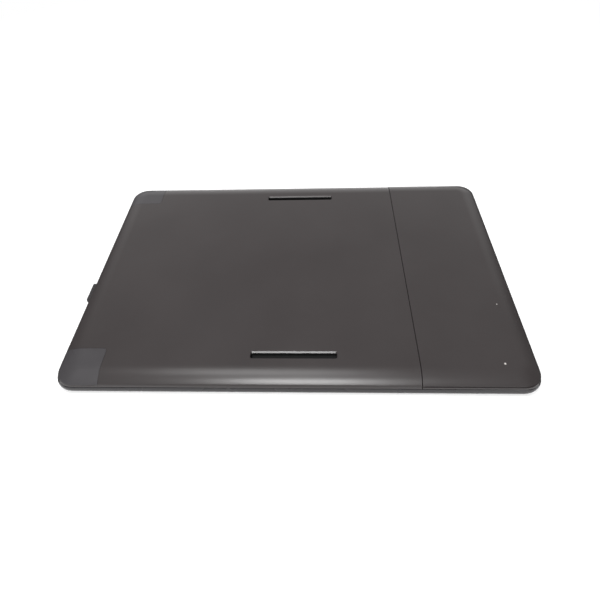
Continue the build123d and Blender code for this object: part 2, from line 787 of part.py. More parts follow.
# Power button: a bar through the wall, held by two ears, with a nub over its switch
power_out = -half_length - power_button_proud
power_back = rim_inner_x + piece_gap + power_ear_thickness
button = edge_bar(
    power_button_length,
    power_button_height,
    power_button_radius,
    power_button_y,
    power_z,
    power_out,
    power_back,
)
button = chamfer(button.edges().group_by(Axis.X)[0], power_button_edge)
button += block(
    rim_inner_x + piece_gap,
    power_back,
    power_button_y - power_button_length / 2 - power_ear_length,
    power_button_y + power_button_length / 2 + power_ear_length,
    power_z - power_ear_height / 2,
    power_z + power_ear_height / 2,
)
button += block(
    power_back,
    power_back + power_nub_length,
    power_button_y - power_nub_width / 2,
    power_button_y + power_nub_width / 2,
    power_z - power_nub_width / 2,
    power_z + power_nub_width / 2,
)
nodes["power_button"] = button
power_switch_x = power_back + power_nub_length + power_button_travel + piece_gap
nodes["power_switch"] = block(
    power_switch_x,
    power_switch_x + power_switch_width,
    power_button_y - power_switch_length / 2,
    power_button_y + power_switch_length / 2,
    power_z - power_switch_drop,
    board_bottom,
)

# Status light: a clear pipe in the wall with its lamp on the board behind
pipe_out = -half_length + light_pipe_recess
pipe_in = pipe_out + light_pipe_length
nodes["status_light_pipe"] = side_bar(light_pipe_radius, light_y, power_z, pipe_out, pipe_in)
led_x = pipe_in + piece_gap
nodes["status_led"] = block(
    led_x,
    led_x + 2 * light_pipe_radius,
    light_y - light_pipe_radius,
    light_y + light_pipe_radius,
    power_z - light_pipe_radius,
    board_bottom,
)

# Cable socket: a drawn shell under the board's edge with a contact block at its back
socket_x = rim_inner_x + socket_set_back
socket_back_x = socket_x + socket_depth
shell_place = (socket_y, socket_z)
shell = edge_bar(
    socket_length + 2 * socket_wall,
    socket_height + 2 * socket_wall,
    socket_corner_radius + socket_wall,
    *shell_place,
    socket_x,
    socket_back_x,
)
nodes["cable_socket"] = shell - edge_bar(
    socket_length, socket_height, socket_corner_radius, *shell_place, socket_x - overrun, socket_back_x
)
contact_block_x = socket_back_x - socket_back
nodes["socket_insulator"] = edge_bar(
    socket_length - 2 * slip_gap,
    socket_height - 2 * slip_gap,
    socket_corner_radius,
    *shell_place,
    contact_block_x,
    socket_back_x,
)
contact_pitch = (socket_length - 2 * socket_corner_radius) / contact_count
contacts = []
for number in range(contact_count):
    contact_y = socket_y + (number - (contact_count - 1) / 2) * contact_pitch
    contacts.append(
        block(
            contact_block_x - contact_length,
            contact_block_x,
            contact_y - contact_width / 2,
            contact_y + contact_width / 2,
            socket_z - contact_height / 2,
            socket_z + contact_height / 2,
        )
    )
nodes["socket_contacts"] = Compound(children=contacts)

# Lip that locates both rear covers inside the rim, left out where the edge parts stand
lip_outer = rim_wall + slip_gap
lip_outline = plan(lip_outer) - plan(lip_outer + lip_thickness)
lip = slab(lip_outline, rim_height - lip_depth, end_cover_bottom + lip_root)
lip -= block(
    -half_length - overrun,
    frame_left,
    light_y - boss_radius,
    socket_y + socket_length / 2 + boss_radius,
    rim_height - lip_depth,
    tablet_height,
)

# Main rear cover: shell, lip, ribs, thickened slot mouths, screw bosses and a joggled flange
main_ends_x = seam_x - end_cover_seam / 2
main_half = block(-half_length - overrun, main_ends_x, -half_width, half_width, 0, tablet_height + overrun)
ceiling = main_back - cover_wall
main_cover = main_form(0) - main_form(cover_wall, overrun)
main_cover += lip
main_cover &= main_half
cover_ribs = []
rib_low = ceiling - rib_height
rib_field_x = (main_ends_x - half_length + pad_length) / 2
rib_field_length = main_ends_x + half_length - pad_length
rib_field_width = tablet_width - 2 * rib_from_side
for column in range(rib_columns):
    x = rib_field_x + (column - (rib_columns - 1) / 2) * rib_field_length / rib_columns
    cover_ribs.append(sheet(rib_thickness, rib_field_width, x, 0, rib_low, ceiling))
for row in range(rib_rows):
    y = (row - (rib_rows - 1) / 2) * rib_field_width / rib_rows
    cover_ribs.append(sheet(rib_field_length, rib_thickness, rib_field_x, y, rib_low, ceiling))
main_cover += cover_ribs
mouth_wall = tub_undercut + tub_wall
mouth_floor = main_back - slot_mouth_depth
slot_places = {"near": -slot_centre_y, "far": slot_centre_y}
mouth_length = slot_length + 2 * mouth_wall
mouth_width = slot_width + 2 * mouth_wall
for y in slot_places.values():
    mouth = rounded(mouth_length, mouth_width, slot_radius + mouth_wall, 0, y)
    main_cover += slab(mouth, mouth_floor, ceiling)
    main_cover -= slab(rounded(slot_length, slot_width, slot_radius, 0, y), mouth_floor, main_back + overrun)
slot_edges = []
for edge in main_cover.edges().filter_by_position(Axis.Z, main_back - seat_gap, main_back + seat_gap):
    middle_point = edge.center()
    if abs(abs(middle_point.Y) - slot_centre_y) < slot_width and abs(middle_point.X) < slot_length:
        slot_edges.append(edge)
main_cover = chamfer(slot_edges, slot_chamfer)
main_cover += [post(boss_radius, x, y, frame_top + seat_gap, ceiling) for x, y in pad_screws_at]
flange_root_x = main_ends_x - joggle_root
flange_end_x = main_ends_x + joggle_length
flange_reach = half_width - joggle_from_side
main_cover += block(flange_root_x, main_ends_x, -flange_reach, flange_reach, joggle_low, ceiling)
main_cover += block(flange_root_x, flange_end_x, -flange_reach, flange_reach, joggle_low, joggle_seat)
for x, y in joggle_screws_at:
    main_cover -= post(screw_hole_radius, x, y, joggle_low, joggle_seat)
for x, y in pad_screws_at:
    main_cover -= post(screw_head_radius + piece_gap, x, y, pad_screw_seat, main_back + overrun)
    main_cover -= post(screw_hole_radius, x, y, rim_height, pad_screw_seat)


def pad_prism(side, growth):
    """Corner block that bounds a pad, with its inner upright corner rounded."""
    length = pad_length + overrun
    width = pad_width + overrun
    x = -half_length + pad_length + growth - length / 2
    y = side * (half_width - pad_width - growth + width / 2)
    outline = rounded(length, width, pad_corner_radius + growth, x, y)
    return slab(outline, pad_lower_edge - growth, tablet_height + overrun)


pad_bed = main_form(pad_thickness + seat_gap / 2)
pad_skin = main_form(0) - main_form(pad_thickness)
for side in (-1, 1):
    main_cover -= pad_prism(side, slip_gap) - pad_bed
nodes["corner_pads"] = Compound(children=[pad_skin & pad_prism(side, 0) for side in (-1, 1)])
nodes["rear_cover"] = main_cover - power_hole - socket_hole
nodes["cover_screws"] = screws(pad_screws_at, pad_screw_seat, pad_screw_length)
nodes["flange_screws"] = screws(joggle_screws_at, joggle_seat, flange_screw_length)

# Tubs that close the slots, wider than their mouths so that a hook can catch
for name, y in slot_places.items():
    tub_floor = main_back - tub_floor_depth
    outside = rounded(mouth_length, mouth_width, slot_radius + mouth_wall, 0, y)
    inside_length = slot_length + 2 * tub_undercut
    inside_width = slot_width + 2 * tub_undercut
    inside = rounded(inside_length, inside_width, slot_radius + tub_undercut, 0, y)
    tub = slab(outside, tub_floor - tub_wall, mouth_floor)
    nodes[f"slot_tub_{name}"] = tub - slab(inside, tub_floor, mouth_floor)

# Cover over the key end
end_begins_x = seam_x + end_cover_seam / 2
end_half = block(end_begins_x, half_length + overrun, -half_width, half_width, 0, tablet_height + overrun)
end_cover = end_form(0) - end_form(cover_wall, overrun)
end_cover += lip
nodes["rear_end_cover"] = end_cover & end_half

os.makedirs("parts", exist_ok=True)
for name, shape in nodes.items():
    export_step(shape, f"parts/{name}.step")
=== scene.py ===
import math

import bmesh
import bpy
from mathutils import Matrix, Vector


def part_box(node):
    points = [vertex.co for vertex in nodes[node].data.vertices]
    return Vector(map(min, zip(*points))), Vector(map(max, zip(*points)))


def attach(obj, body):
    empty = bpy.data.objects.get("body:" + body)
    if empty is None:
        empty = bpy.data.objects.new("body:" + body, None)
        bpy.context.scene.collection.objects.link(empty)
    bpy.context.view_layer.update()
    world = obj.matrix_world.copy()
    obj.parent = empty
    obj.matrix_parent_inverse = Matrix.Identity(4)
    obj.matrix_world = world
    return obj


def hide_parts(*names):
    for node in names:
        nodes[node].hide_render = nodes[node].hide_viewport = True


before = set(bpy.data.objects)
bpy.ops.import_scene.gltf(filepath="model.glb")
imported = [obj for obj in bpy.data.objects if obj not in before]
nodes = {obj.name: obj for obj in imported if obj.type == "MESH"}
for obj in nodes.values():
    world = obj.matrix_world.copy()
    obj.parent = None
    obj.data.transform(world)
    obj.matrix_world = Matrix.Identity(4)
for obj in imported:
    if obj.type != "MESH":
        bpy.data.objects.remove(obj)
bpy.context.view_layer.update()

mm = 0.001

# Front bezel
# The moulded rim and shelf of ABS that every other piece is built into, face down. Its rim is
# spark-eroded to a satin black, and screw bosses stand on its shelf.
bezel_edge = 0.12 * mm
edge_steps = 3
large_face_weight = 100
sharpest_turn = math.radians(30)
flattest_turn = math.radians(0.5)
same_point = 0.001 * mm
outline_radius = 21 * mm
full_radius = 15.3 * mm
glass_play = 0.4 * mm
rim_low, rim_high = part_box("front_bezel")
tablet_length = rim_high.x - rim_low.x
tablet_width = rim_high.y - rim_low.y


def linear(code):
    """Linear colour of an sRGB hex code."""
    shares = [int(code[i:i + 2], 16) / 255 for i in (1, 3, 5)]
    return [s / 12.92 if s <= 0.04045 else ((s + 0.055) / 1.055) ** 2.4 for s in shares] + [1]


def add(tree, kind, links=None, **settings):
    """Add a node with its settings and feed its inputs.

    An input takes a socket, a node for its first output, the hex code of a colour or a value.
    """
    node = tree.nodes.new(kind)
    for name, value in settings.items():
        setattr(node, name, value)
    for socket, source in (links or {}).items():
        if isinstance(source, bpy.types.Node):
            source = next(output for output in source.outputs if output.enabled)
        if isinstance(source, bpy.types.NodeSocket):
            tree.links.new(source, node.inputs[socket])
        else:
            node.inputs[socket].default_value = linear(source) if isinstance(source, str) else source
    return node


def new_material(name):
    """Empty node material, its tree, and where each shaded point lies on the object."""
    material = bpy.data.materials.new(name)
    material.use_nodes = True
    tree = material.node_tree
    tree.nodes.clear()
    return material, tree, add(tree, "ShaderNodeTexCoord").outputs["Object"]


def finished_material(material, surface):
    """Give a material one surface, described by its colour, gloss and relief, and hand it out."""
    shader = add(material.node_tree, "ShaderNodeBsdfPrincipled", surface)
    add(material.node_tree, "ShaderNodeOutputMaterial", {"Surface": shader})
    return material


def moulded_plastic(name, dark, light, gloss, grain, depth, cloud):
    """Moulded plastic with an eroded grain, a slow drift of tone and a little uneven gloss.

    The grain and cloud are the real sizes of the pattern, and the depth is the grain's height.
    """
    material, tree, place = new_material(name)
    drift = add(tree, "ShaderNodeTexNoise", {"Vector": place, "Scale": 1 / cloud, "Detail": 3.0})
    pits = add(tree, "ShaderNodeTexNoise", {"Vector": place, "Scale": 1 / grain, "Detail": 2.0})
    tone = add(tree, "ShaderNodeMix", {"Factor": drift, "A": dark, "B": light}, data_type="RGBA")
    sheen = add(tree, "ShaderNodeMapRange", {
        "Value": drift, "From Min": 0.3, "From Max": 0.7, "To Min": gloss - 0.03, "To Max": gloss + 0.03
    })
    relief = add(tree, "ShaderNodeBump", {"Height": pits, "Distance": depth, "Strength": 0.5})
    return finished_material(
        material, {"Base Color": tone, "Roughness": sheen, "Normal": relief, "IOR": 1.5}
    )


def new_object(name, data):
    """Object made of the given data, in the scene."""
    made = bpy.data.objects.new(name, data)
    bpy.context.scene.collection.objects.link(made)
    return made


def apply_modifiers(body):
    """Turn what a body's modifiers make into its own mesh."""
    bpy.context.view_layer.update()
    shown = body.evaluated_get(bpy.context.evaluated_depsgraph_get())
    body.data = bpy.data.meshes.new_from_object(shown)
    body.modifiers.clear()


def reshape(body, change):
    """Pass a body's mesh through a change to its faces."""
    mesh = bmesh.new()
    mesh.from_mesh(body.data)
    change(mesh)
    mesh.to_mesh(body.data)
    mesh.free()


def join_triangles(mesh):
    """Join the triangles of a CAD mesh into its flat faces."""
    bmesh.ops.remove_doubles(mesh, verts=mesh.verts, dist=same_point)
    bmesh.ops.dissolve_limit(mesh, angle_limit=flattest_turn, verts=mesh.verts, edges=mesh.edges)


def drop_slivers(mesh):
    """Dissolve the faces without area that a bevel leaves where edges meet at a point."""
    bmesh.ops.dissolve_degenerate(mesh, dist=same_point, edges=mesh.edges)


def turn_outwards(mesh):
    """Give every face of a closed mesh its outward side."""
    bmesh.ops.recalc_face_normals(mesh, faces=mesh.faces)


def smooth_finish(body, finish, bevel_width, slivers=False):
    """Round the sharp edges by a small bevel, and let the large faces lead the shading."""
    edge = body.modifiers.new("edge", "BEVEL")
    edge.width = bevel_width
    edge.segments = edge_steps
    edge.limit_method = "ANGLE"
    edge.angle_limit = sharpest_turn
    body.data.shade_smooth()
    if slivers:
        apply_modifiers(body)
        reshape(body, drop_slivers)
    shading = body.modifiers.new("shading", "WEIGHTED_NORMAL")
    shading.weight = large_face_weight
    apply_modifiers(body)
    body.data.materials.clear()
    body.data.materials.append(finish)


def fill_corners(body, held_radius=0, held_height=0):
    """Draw the tablet's four corners out to their fuller, tighter radius.

    Points within the held radius of a corner's middle stay where they are below the held height.
    """
    step = outline_radius - full_radius
    for vertex in body.data.vertices:
        u = abs(vertex.co.x) - (tablet_length / 2 - outline_radius)
        v = abs(vertex.co.y) - (tablet_width / 2 - outline_radius)
        if min(u, v) <= 0:
            continue
        away = math.hypot(u, v)
        if away < held_radius and vertex.co.z < held_height:
            continue
        if min(u, v) * outline_radius < step * max(u, v):
            reach = outline_radius * away / max(u, v)
        else:
            along = step * (u + v) / away
            reach = along + math.sqrt(along ** 2 - 2 * step ** 2 + full_radius ** 2)
        growth = (reach / outline_radius - 1) * (away / outline_radius) ** 2
        vertex.co.x += math.copysign(u * growth, vertex.co.x)
        vertex.co.y += math.copysign(v * growth, vertex.co.y)


def settle(piece, body, slot, *replaced):
    """Let a finished piece ride on its body and stand for its CAD nodes; the slot is not used."""
    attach(piece, body)
    if replaced:
        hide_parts(*replaced)


def eased_copy(node, name, body, slot, finish, bevel_width, held=None):
    """Own copy of a CAD node with its triangles joined, its edges eased and its finish on.

    Where a held radius and height are given, the copy's corners are filled outside them.
    """
    piece = new_object(name, nodes[node].data.copy())
    reshape(piece, join_triangles)
    if held:
        fill_corners(piece, *held)
    smooth_finish(piece, finish, bevel_width, slivers=True)
    settle(piece, body, slot, node)


def dress(finish, *names):
    """Give CAD nodes that stay as they are their finish."""
    for name in names:
        nodes[name].data.materials.clear()
        nodes[name].data.materials.append(finish)


# Spark-eroded ABS, pigmented black: a soft sheen over a grain that only breaks up highlights
satin_black = moulded_plastic("satin_black_abs", "#262426", "#2d2b2d", 0.27, 0.4 * mm, 0.006 * mm, 40 * mm)
glass_low, glass_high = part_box("display_glass")
glass_room = outline_radius - (glass_low.x - rim_low.x) + glass_play
eased_copy(
    "front_bezel",
    "front_bezel_rim",
    "housing",
    "bezel_plastic",
    satin_black,
    bezel_edge,
    (glass_room, glass_high.z + mm),
)

# Front glass and its tape
# One sheet of etched glass, printed black behind its border, that the pen is drawn over. A frame of
# foam tape bonds it to the bezel's shelf.
glass_edge = 0.25 * mm
screen_length = 294 * mm
screen_width = 165.5 * mm
tray_low, tray_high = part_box("display_tray")
screen_x = (tray_low.x + tray_high.x) / 2


def etched_glass():
    """Black-backed glass with an acid-etched face, where the unlit screen is a shade lighter."""
    material, tree, place = new_material("etched_black_backed_glass")
    axes = add(tree, "ShaderNodeSeparateXYZ", {0: place}).outputs
    across = add(tree, "ShaderNodeMath", {0: axes["X"], 1: screen_x}, operation="SUBTRACT")
    inside = []
    for way, half in ((across, screen_length / 2), (axes["Y"], screen_width / 2)):
        size = add(tree, "ShaderNodeMath", {0: way}, operation="ABSOLUTE")
        inside.append(add(tree, "ShaderNodeMath", {0: size, 1: half}, operation="LESS_THAN"))
    lit_area = add(tree, "ShaderNodeMath", {0: inside[0], 1: inside[1]}, operation="MULTIPLY")
    tone = add(tree, "ShaderNodeMix", {"Factor": lit_area, "A": "#060607", "B": "#14151a"}, data_type="RGBA")
    etch = add(tree, "ShaderNodeTexNoise", {"Vector": place, "Scale": 1 / (0.3 * mm), "Detail": 2.0})
    relief = add(tree, "ShaderNodeBump", {"Height": etch, "Distance": 0.002 * mm, "Strength": 0.5})
    return finished_material(
        material, {"Base Color": tone, "Roughness": 0.16, "Normal": relief, "IOR": 1.52}
    )


# Etched glass: deep black with a slightly blurred reflection, and the screen area a shade bluer
pen_glass = etched_glass()
eased_copy("display_glass", "front_glass", "housing", "screen_glass", pen_glass, glass_edge)
# Closed-cell acrylic foam: dull black with pinholes, drawn at half a millimetre so that they show
foam_tape = moulded_plastic("black_acrylic_foam", "#131313", "#1d1d1d", 0.85, 0.5 * mm, 0.05 * mm, 8 * mm)
dress(foam_tape, "glass_tape")

# Key panel
# A thin moulded panel of matt black ABS beside the glass, with an opening for each key and the ring.
panel_edge = 0.12 * mm
# Fine matt ABS: even black with almost no highlight
matt_black = moulded_plastic("matt_black_abs", "#171718", "#1c1c1d", 0.48, 0.3 * mm, 0.006 * mm, 50 * mm)
eased_copy("key_panel", "key_surround", "housing", "key_panel_plastic", matt_black, panel_edge)

# Shortcut keys
# Four moulded caps, each with a flange that keeps it in and a stem over its switch. The two beside
# the ring carry a raised bar that a finger finds without looking.
key_edge = 0.15 * mm
# Polished-tool ABS in a shade above the panel: small crisp highlights along the eased edges
key_plastic = moulded_plastic(
    "soft_sheen_black_abs", "#242426", "#2b2b2d", 0.32, 0.25 * mm, 0.004 * mm, 20 * mm
)
for number in (1, 2, 3, 4):
    key = f"shortcut_key_{number}"
    eased_copy(key, f"{key}_cap", key, "key_plastic", key_plastic, key_edge)

# Rocker ring
# A dished ring that tilts to four sides over a light carrier, with a round home button in its
# middle. Four small pips on the ring mark its directions.
pip_radius = 0.6 * mm
pip_height = 0.2 * mm
pip_sink = 0.12 * mm
pip_crown_share = 0.6
pip_sides = 16
eased_copy("rocker_ring", "rocker_ring_cap", "rocker_ring", "key_plastic", key_plastic, key_edge)
eased_copy("home_button", "home_button_cap", "home_button", "key_plastic", key_plastic, key_edge)
# Acetal left its own colour: a warm white that looks slightly waxy
natural_acetal = moulded_plastic("natural_acetal", "#cfcabb", "#d9d5c8", 0.4, 0.4 * mm, 0.003 * mm, 12 * mm)
dress(natural_acetal, "rocker_carrier")


def new_shape_tree(name, **inputs):
    """Empty Geometry Nodes tree with inputs of the named kinds, and what it is given through them."""
    tree = bpy.data.node_groups.new(name, "GeometryNodeTree")
    for socket, kind in inputs.items():
        label = socket.replace("_", " ")
        tree.interface.new_socket(label, in_out="INPUT", socket_type=f"NodeSocket{kind}")
    tree.interface.new_socket("Geometry", in_out="OUTPUT", socket_type="NodeSocketGeometry")
    return tree, add(tree, "NodeGroupInput").outputs


def finished_tree(tree, shape, finish):
    """Make a tree's shape real, give it its finish and hand it out."""
    real = add(tree, "GeometryNodeRealizeInstances", {"Geometry": shape})
    named = add(tree, "GeometryNodeSetMaterial", {"Geometry": real, "Material": finish})
    add(tree, "NodeGroupOutput", {0: named})
    return tree


def copies_tree():
    """Geometry Nodes that set a copy of a piece on every point of a mesh."""
    tree, given = new_shape_tree("copies_at_places", Places="Geometry", Piece="Object", Finish="Material")
    piece = add(tree, "GeometryNodeObjectInfo", {"Object": given["Piece"]}).outputs["Geometry"]
    copies = add(tree, "GeometryNodeInstanceOnPoints", {"Points": given["Places"], "Instance": piece})
    return finished_tree(tree, copies, given["Finish"])


def made_by(tree, name, sizes, places=()):
    """Plain mesh object that a Geometry Nodes tree makes from the given sizes and places."""
    start = bpy.data.meshes.new(name)
    start.from_pydata(list(places), [], [])
    maker = new_object(name, start)
    modifier = maker.modifiers.new("maker", "NODES")
    modifier.node_group = tree
    sockets = {s.name: s.identifier for s in tree.interface.items_tree if s.in_out == "INPUT"}
    for size, value in sizes.items():
        modifier[sockets[size]] = value
    apply_modifiers(maker)
    maker.data.name = name
    return maker


def body_from(mesh, name):
    """Object that takes over a mesh under construction."""
    data = bpy.data.meshes.new(name)
    mesh.to_mesh(data)
    mesh.free()
    return new_object(name, data)


def turned(name, profile, sides):
    """Closed round body from a profile of radius and height that starts and ends on the axis."""
    mesh = bmesh.new()
    rings = []
    for radius, height in profile:
        if radius == 0:
            rings.append([mesh.verts.new((0, 0, height))])
            continue
        turns = [2 * math.pi * i / sides for i in range(sides)]
        rings.append([mesh.verts.new((radius * math.cos(t), radius * math.sin(t), height)) for t in turns])
    for low, high in zip(rings, rings[1:]):
        for i in range(sides):
            j = (i + 1) % sides
            corners = [low[i % len(low)], low[j % len(low)], high[j % len(high)], high[i % len(high)]]
            mesh.faces.new(list(dict.fromkeys(corners)))
    turn_outwards(mesh)
    return body_from(mesh, name)


copies_at_places = copies_tree()


def set_copies(name, piece, finish, places, body, slot, *replaced):
    """Settle copies of a piece at the given places as one mesh."""
    copies = made_by(copies_at_places, name, {"Piece": piece, "Finish": finish}, places)
    bpy.data.objects.remove(piece)
    settle(copies, body, slot, *replaced)


ring_low, ring_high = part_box("rocker_ring")
home_low, home_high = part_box("home_button")
ring_x = (ring_low.x + ring_high.x) / 2
pip_circle = (ring_high.x - ring_low.x + home_high.x - home_low.x) / 4
pip = turned(
    "pip",
    [
        (0, pip_height),
        (pip_radius, pip_height),
        (pip_radius, 0),
        (pip_crown_share * pip_radius, -pip_height),
        (0, -pip_height),
    ],
    pip_sides,
)
pip_places = []
for turn in (0, 90, 180, 270):
    angle = math.radians(turn)
    x = ring_x + pip_circle * math.cos(angle)
    pip_places.append((x, pip_circle * math.sin(angle), ring_low.z + pip_sink))
set_copies("ring_pips", pip, key_plastic, pip_places, "rocker_ring", "key_plastic")

# Key board with its switches
# A narrow circuit board behind the keys, with a snap-dome switch under each key, under the home
# button and under each side of the ring. Four screws hold it to bosses on the shelf.
trace_pitch = 0.9 * mm
trace_field = 7 * mm
via_pitch = 4 * mm
via_radius_share = 0.09
wave_period = 0.05 * math.tau


def circuit_laminate(name, dark, light, copper, gloss):
    """Glass-epoxy board: solder mask over fields of parallel tracks, with tinned vias."""
    material, tree, place = new_material(name)
    fields = add(
        tree, "ShaderNodeTexVoronoi", {"Vector": place, "Scale": 1 / trace_field}, distance="CHEBYCHEV"
    )
    choice = add(tree, "ShaderNodeSeparateColor", {"Color": fields.outputs["Color"]})
    tracks = []
    for direction in ("X", "Y"):
        bands = add(
            tree,
            "ShaderNodeTexWave",
            {"Vector": place, "Scale": wave_period / trace_pitch},
            bands_direction=direction,
        )
        tracks.append(bands.outputs["Fac"])
    picked = add(tree, "ShaderNodeMath", {0: choice, 1: 0.5}, operation="GREATER_THAN")
    lines = add(tree, "ShaderNodeMix", {"Factor": picked, "A": tracks[0], "B": tracks[1]})
    raised = add(tree, "ShaderNodeMath", {0: lines, 1: 0.55}, operation="GREATER_THAN")
    mask = add(tree, "ShaderNodeMix", {"Factor": raised, "A": dark, "B": light}, data_type="RGBA")
    holes = add(tree, "ShaderNodeTexVoronoi", {"Vector": place, "Scale": 1 / via_pitch})
    via = add(tree, "ShaderNodeMath", {0: holes, 1: via_radius_share}, operation="LESS_THAN")
    tone = add(tree, "ShaderNodeMix", {"Factor": via, "A": mask, "B": copper}, data_type="RGBA")
    relief = add(tree, "ShaderNodeBump", {"Height": raised, "Distance": 0.03 * mm, "Strength": 0.6})
    return finished_material(
        material, {"Base Color": tone, "Metallic": via, "Roughness": gloss, "Normal": relief}
    )


def worked_metal(name, dark, light, gloss, grain, stretch, depth):
    """Bare metal with a grain of a real size, drawn out along one direction where it was rolled."""
    material, tree, place = new_material(name)
    pulled = add(tree, "ShaderNodeMapping", {"Vector": place, "Scale": stretch})
    streaks = add(tree, "ShaderNodeTexNoise", {"Vector": pulled, "Scale": 1 / grain, "Detail": 4.0})
    tone = add(tree, "ShaderNodeMix", {"Factor": streaks, "A": dark, "B": light}, data_type="RGBA")
    sheen = add(
        tree, "ShaderNodeMapRange", {"Value": streaks, "To Min": gloss - 0.08, "To Max": gloss + 0.08}
    )
    relief = add(tree, "ShaderNodeBump", {"Height": streaks, "Distance": depth, "Strength": 0.4})
    return finished_material(
        material, {"Base Color": tone, "Metallic": 1.0, "Roughness": sheen, "Normal": relief}
    )


# Glass-epoxy laminate under green solder mask: glossy, with paler raised tracks and tinned vias
green_laminate = circuit_laminate("green_masked_laminate", "#0c3a22", "#15532f", "#c9c4b4", 0.28)
# Stainless spring steel, stamped into domes: bright with a fine rolled grain
spring_steel = worked_metal(
    "stamped_stainless_steel", "#b4b4b2", "#c6c6c3", 0.28, 0.3 * mm, (1, 6, 1), 0.005 * mm
)
dress(green_laminate, "key_board")
dress(spring_steel, "key_switches")

# Screws
# Pan-head machine screws of blackened steel, with a cross recess. They hold the key board, the
# cast frame, the boards and the flange and corners of the rear covers.
shank_radius = 0.95 * mm
head_radius = 1.9 * mm
head_height = 0.8 * mm
head_crown = 0.25 * mm
recess_length = 1.9 * mm
recess_width = 0.42 * mm
recess_depth = 0.5 * mm
screw_sides = 24
# Zinc plate under black passivation: dark, with bright worn rims and a soft metallic sheen
black_steel = worked_metal(
    "black_passivated_steel", "#2a2a2b", "#3c3b3b", 0.38, 0.4 * mm, (1, 1, 1), 0.01 * mm
)


def block(name, low, high):
    """Closed square block between two corners."""
    mesh = bmesh.new()
    made = bmesh.ops.create_cube(mesh, size=1)
    size = Vector(high) - Vector(low)
    bmesh.ops.scale(mesh, vec=size, verts=made["verts"])
    bmesh.ops.translate(mesh, vec=(Vector(high) + Vector(low)) / 2, verts=made["verts"])
    return body_from(mesh, name)


def apply_boolean(body, cutter, operation, crossing=False):
    """Cut, keep or join one closed mesh with another, whose parts may cross, then drop the second."""
    modifier = body.modifiers.new("cut", "BOOLEAN")
    modifier.operation = operation
    modifier.solver = "EXACT"
    modifier.use_self = crossing
    modifier.object = cutter
    apply_modifiers(body)
    bpy.data.objects.remove(cutter)


def even_row(length, pitch):
    """Distances from the middle of a row of the given length to each of its evenly spaced places."""
    count = int(length / pitch)
    return [(number - (count - 1) / 2) * pitch for number in range(count)]


def solid_boxes(node):
    """Lowest and highest corner of each solid in a CAD node, sorted by place."""
    mesh = bmesh.new()
    mesh.from_mesh(nodes[node].data)
    bmesh.ops.remove_doubles(mesh, verts=mesh.verts, dist=same_point)
    left = set(mesh.verts)
    boxes = []
    while left:
        reached = [left.pop()]
        corners = []
        while reached:
            vertex = reached.pop()
            corners.append(vertex.co.copy())
            for edge in vertex.link_edges:
                other = edge.other_vert(vertex)
                if other in left:
                    left.remove(other)
                    reached.append(other)
        low = Vector([min(c[i] for c in corners) for i in range(3)])
        high = Vector([max(c[i] for c in corners) for i in range(3)])
        boxes.append((low, high))
    mesh.free()
    return sorted(boxes, key=lambda box: tuple(box[0]))


def screw_places(node):
    """Place in plan and height of the top of each screw in a CAD node."""
    return [((low.x + high.x) / 2, (low.y + high.y) / 2, high.z) for low, high in solid_boxes(node)]


def screw_set(node):
    """Screws of one length in the places of a CAD node's screws."""
    low, high = solid_boxes(node)[0]
    shank = high.z - low.z - head_height
    screw = turned(
        "screw",
        [
            (0, -shank),
            (shank_radius - head_crown, -shank),
            (shank_radius, head_crown - shank),
            (shank_radius, 0),
            (head_radius, 0),
            (head_radius, head_height - head_crown),
            (head_radius - head_crown, head_height),
            (0, head_height),
        ],
        screw_sides,
    )
    for length, width in ((recess_length, recess_width), (recess_width, recess_length)):
        low = (-length / 2, -width / 2, head_height - recess_depth)
        high = (length / 2, width / 2, head_height + recess_depth)
        apply_boolean(screw, block("recess", low, high), "DIFFERENCE")
    places = [(x, y, top - head_height) for x, y, top in screw_places(node)]
    set_copies(f"{node}_set", screw, black_steel, places, "housing", "screw_steel", node)


for node in ("key_board_screws", "frame_screws", "board_screws", "flange_screws", "cover_screws"):
    screw_set(node)

# Screen module
# The liquid-crystal cell lies on its clear light guide, lit along one side by a bar of lamps. White
# film backs the guide, and a folded steel tray holds the stack together.
lamp_pitch = 6 * mm
lamp_length = 3 * mm
lamp_proud = 0.25 * mm
dot_pitch = 1.6 * mm
dot_share = 0.28
pixel_pitch = 0.9 * mm
pixel_gap_share = 0.06


def ruled_sheet(name, odd, even, rule, pitch, rule_share, gloss, ior):
    """Glossy sheet ruled with a square grid of thin lines over two close tones."""
    material, tree, place = new_material(name)
    squares = add(
        tree,
        "ShaderNodeTexBrick",
        {
            "Vector": place,
            "Color1": odd,
            "Color2": even,
            "Mortar": rule,
            "Scale": 1 / pitch,
            "Mortar Size": rule_share,
            "Brick Width": 1.0,
            "Row Height": 1.0,
        },
        offset=0.0,
    )
    return finished_material(material, {"Base Color": squares, "Roughness": gloss, "IOR": ior})


def dotted_guide():
    """Cast acrylic that carries light from one edge, with white dots printed on its back."""
    material, tree, place = new_material("dot_printed_clear_acrylic")
    rows = add(tree, "ShaderNodeTexVoronoi", {"Vector": place, "Scale": 1 / dot_pitch, "Randomness": 0.0})
    dots = add(tree, "ShaderNodeMath", {0: rows, 1: dot_share}, operation="LESS_THAN")
    clear = add(tree, "ShaderNodeBsdfPrincipled", {
        "Base Color": "#eef3f2", "Roughness": 0.06, "IOR": 1.49, "Transmission Weight": 1.0
    })
    ink = add(tree, "ShaderNodeBsdfPrincipled", {"Base Color": "#f2f2f0", "Roughness": 0.6})
    mixed = add(tree, "ShaderNodeMixShader", {0: dots, 1: clear, 2: ink})
    add(tree, "ShaderNodeOutputMaterial", {"Surface": mixed})
    return material


# Liquid-crystal glass: black with a mirror-like face and a pixel grid that is drawn coarse to show
cell_glass = ruled_sheet(
    "polarised_lcd_glass", "#16171c", "#181a20", "#0c0d10", pixel_pitch, pixel_gap_share, 0.14, 1.52
)
dress(cell_glass, "lcd_cell")
# Clear acrylic: glassy edges, with rows of white dots seen through the sheet
dress(dotted_guide(), "light_guide")
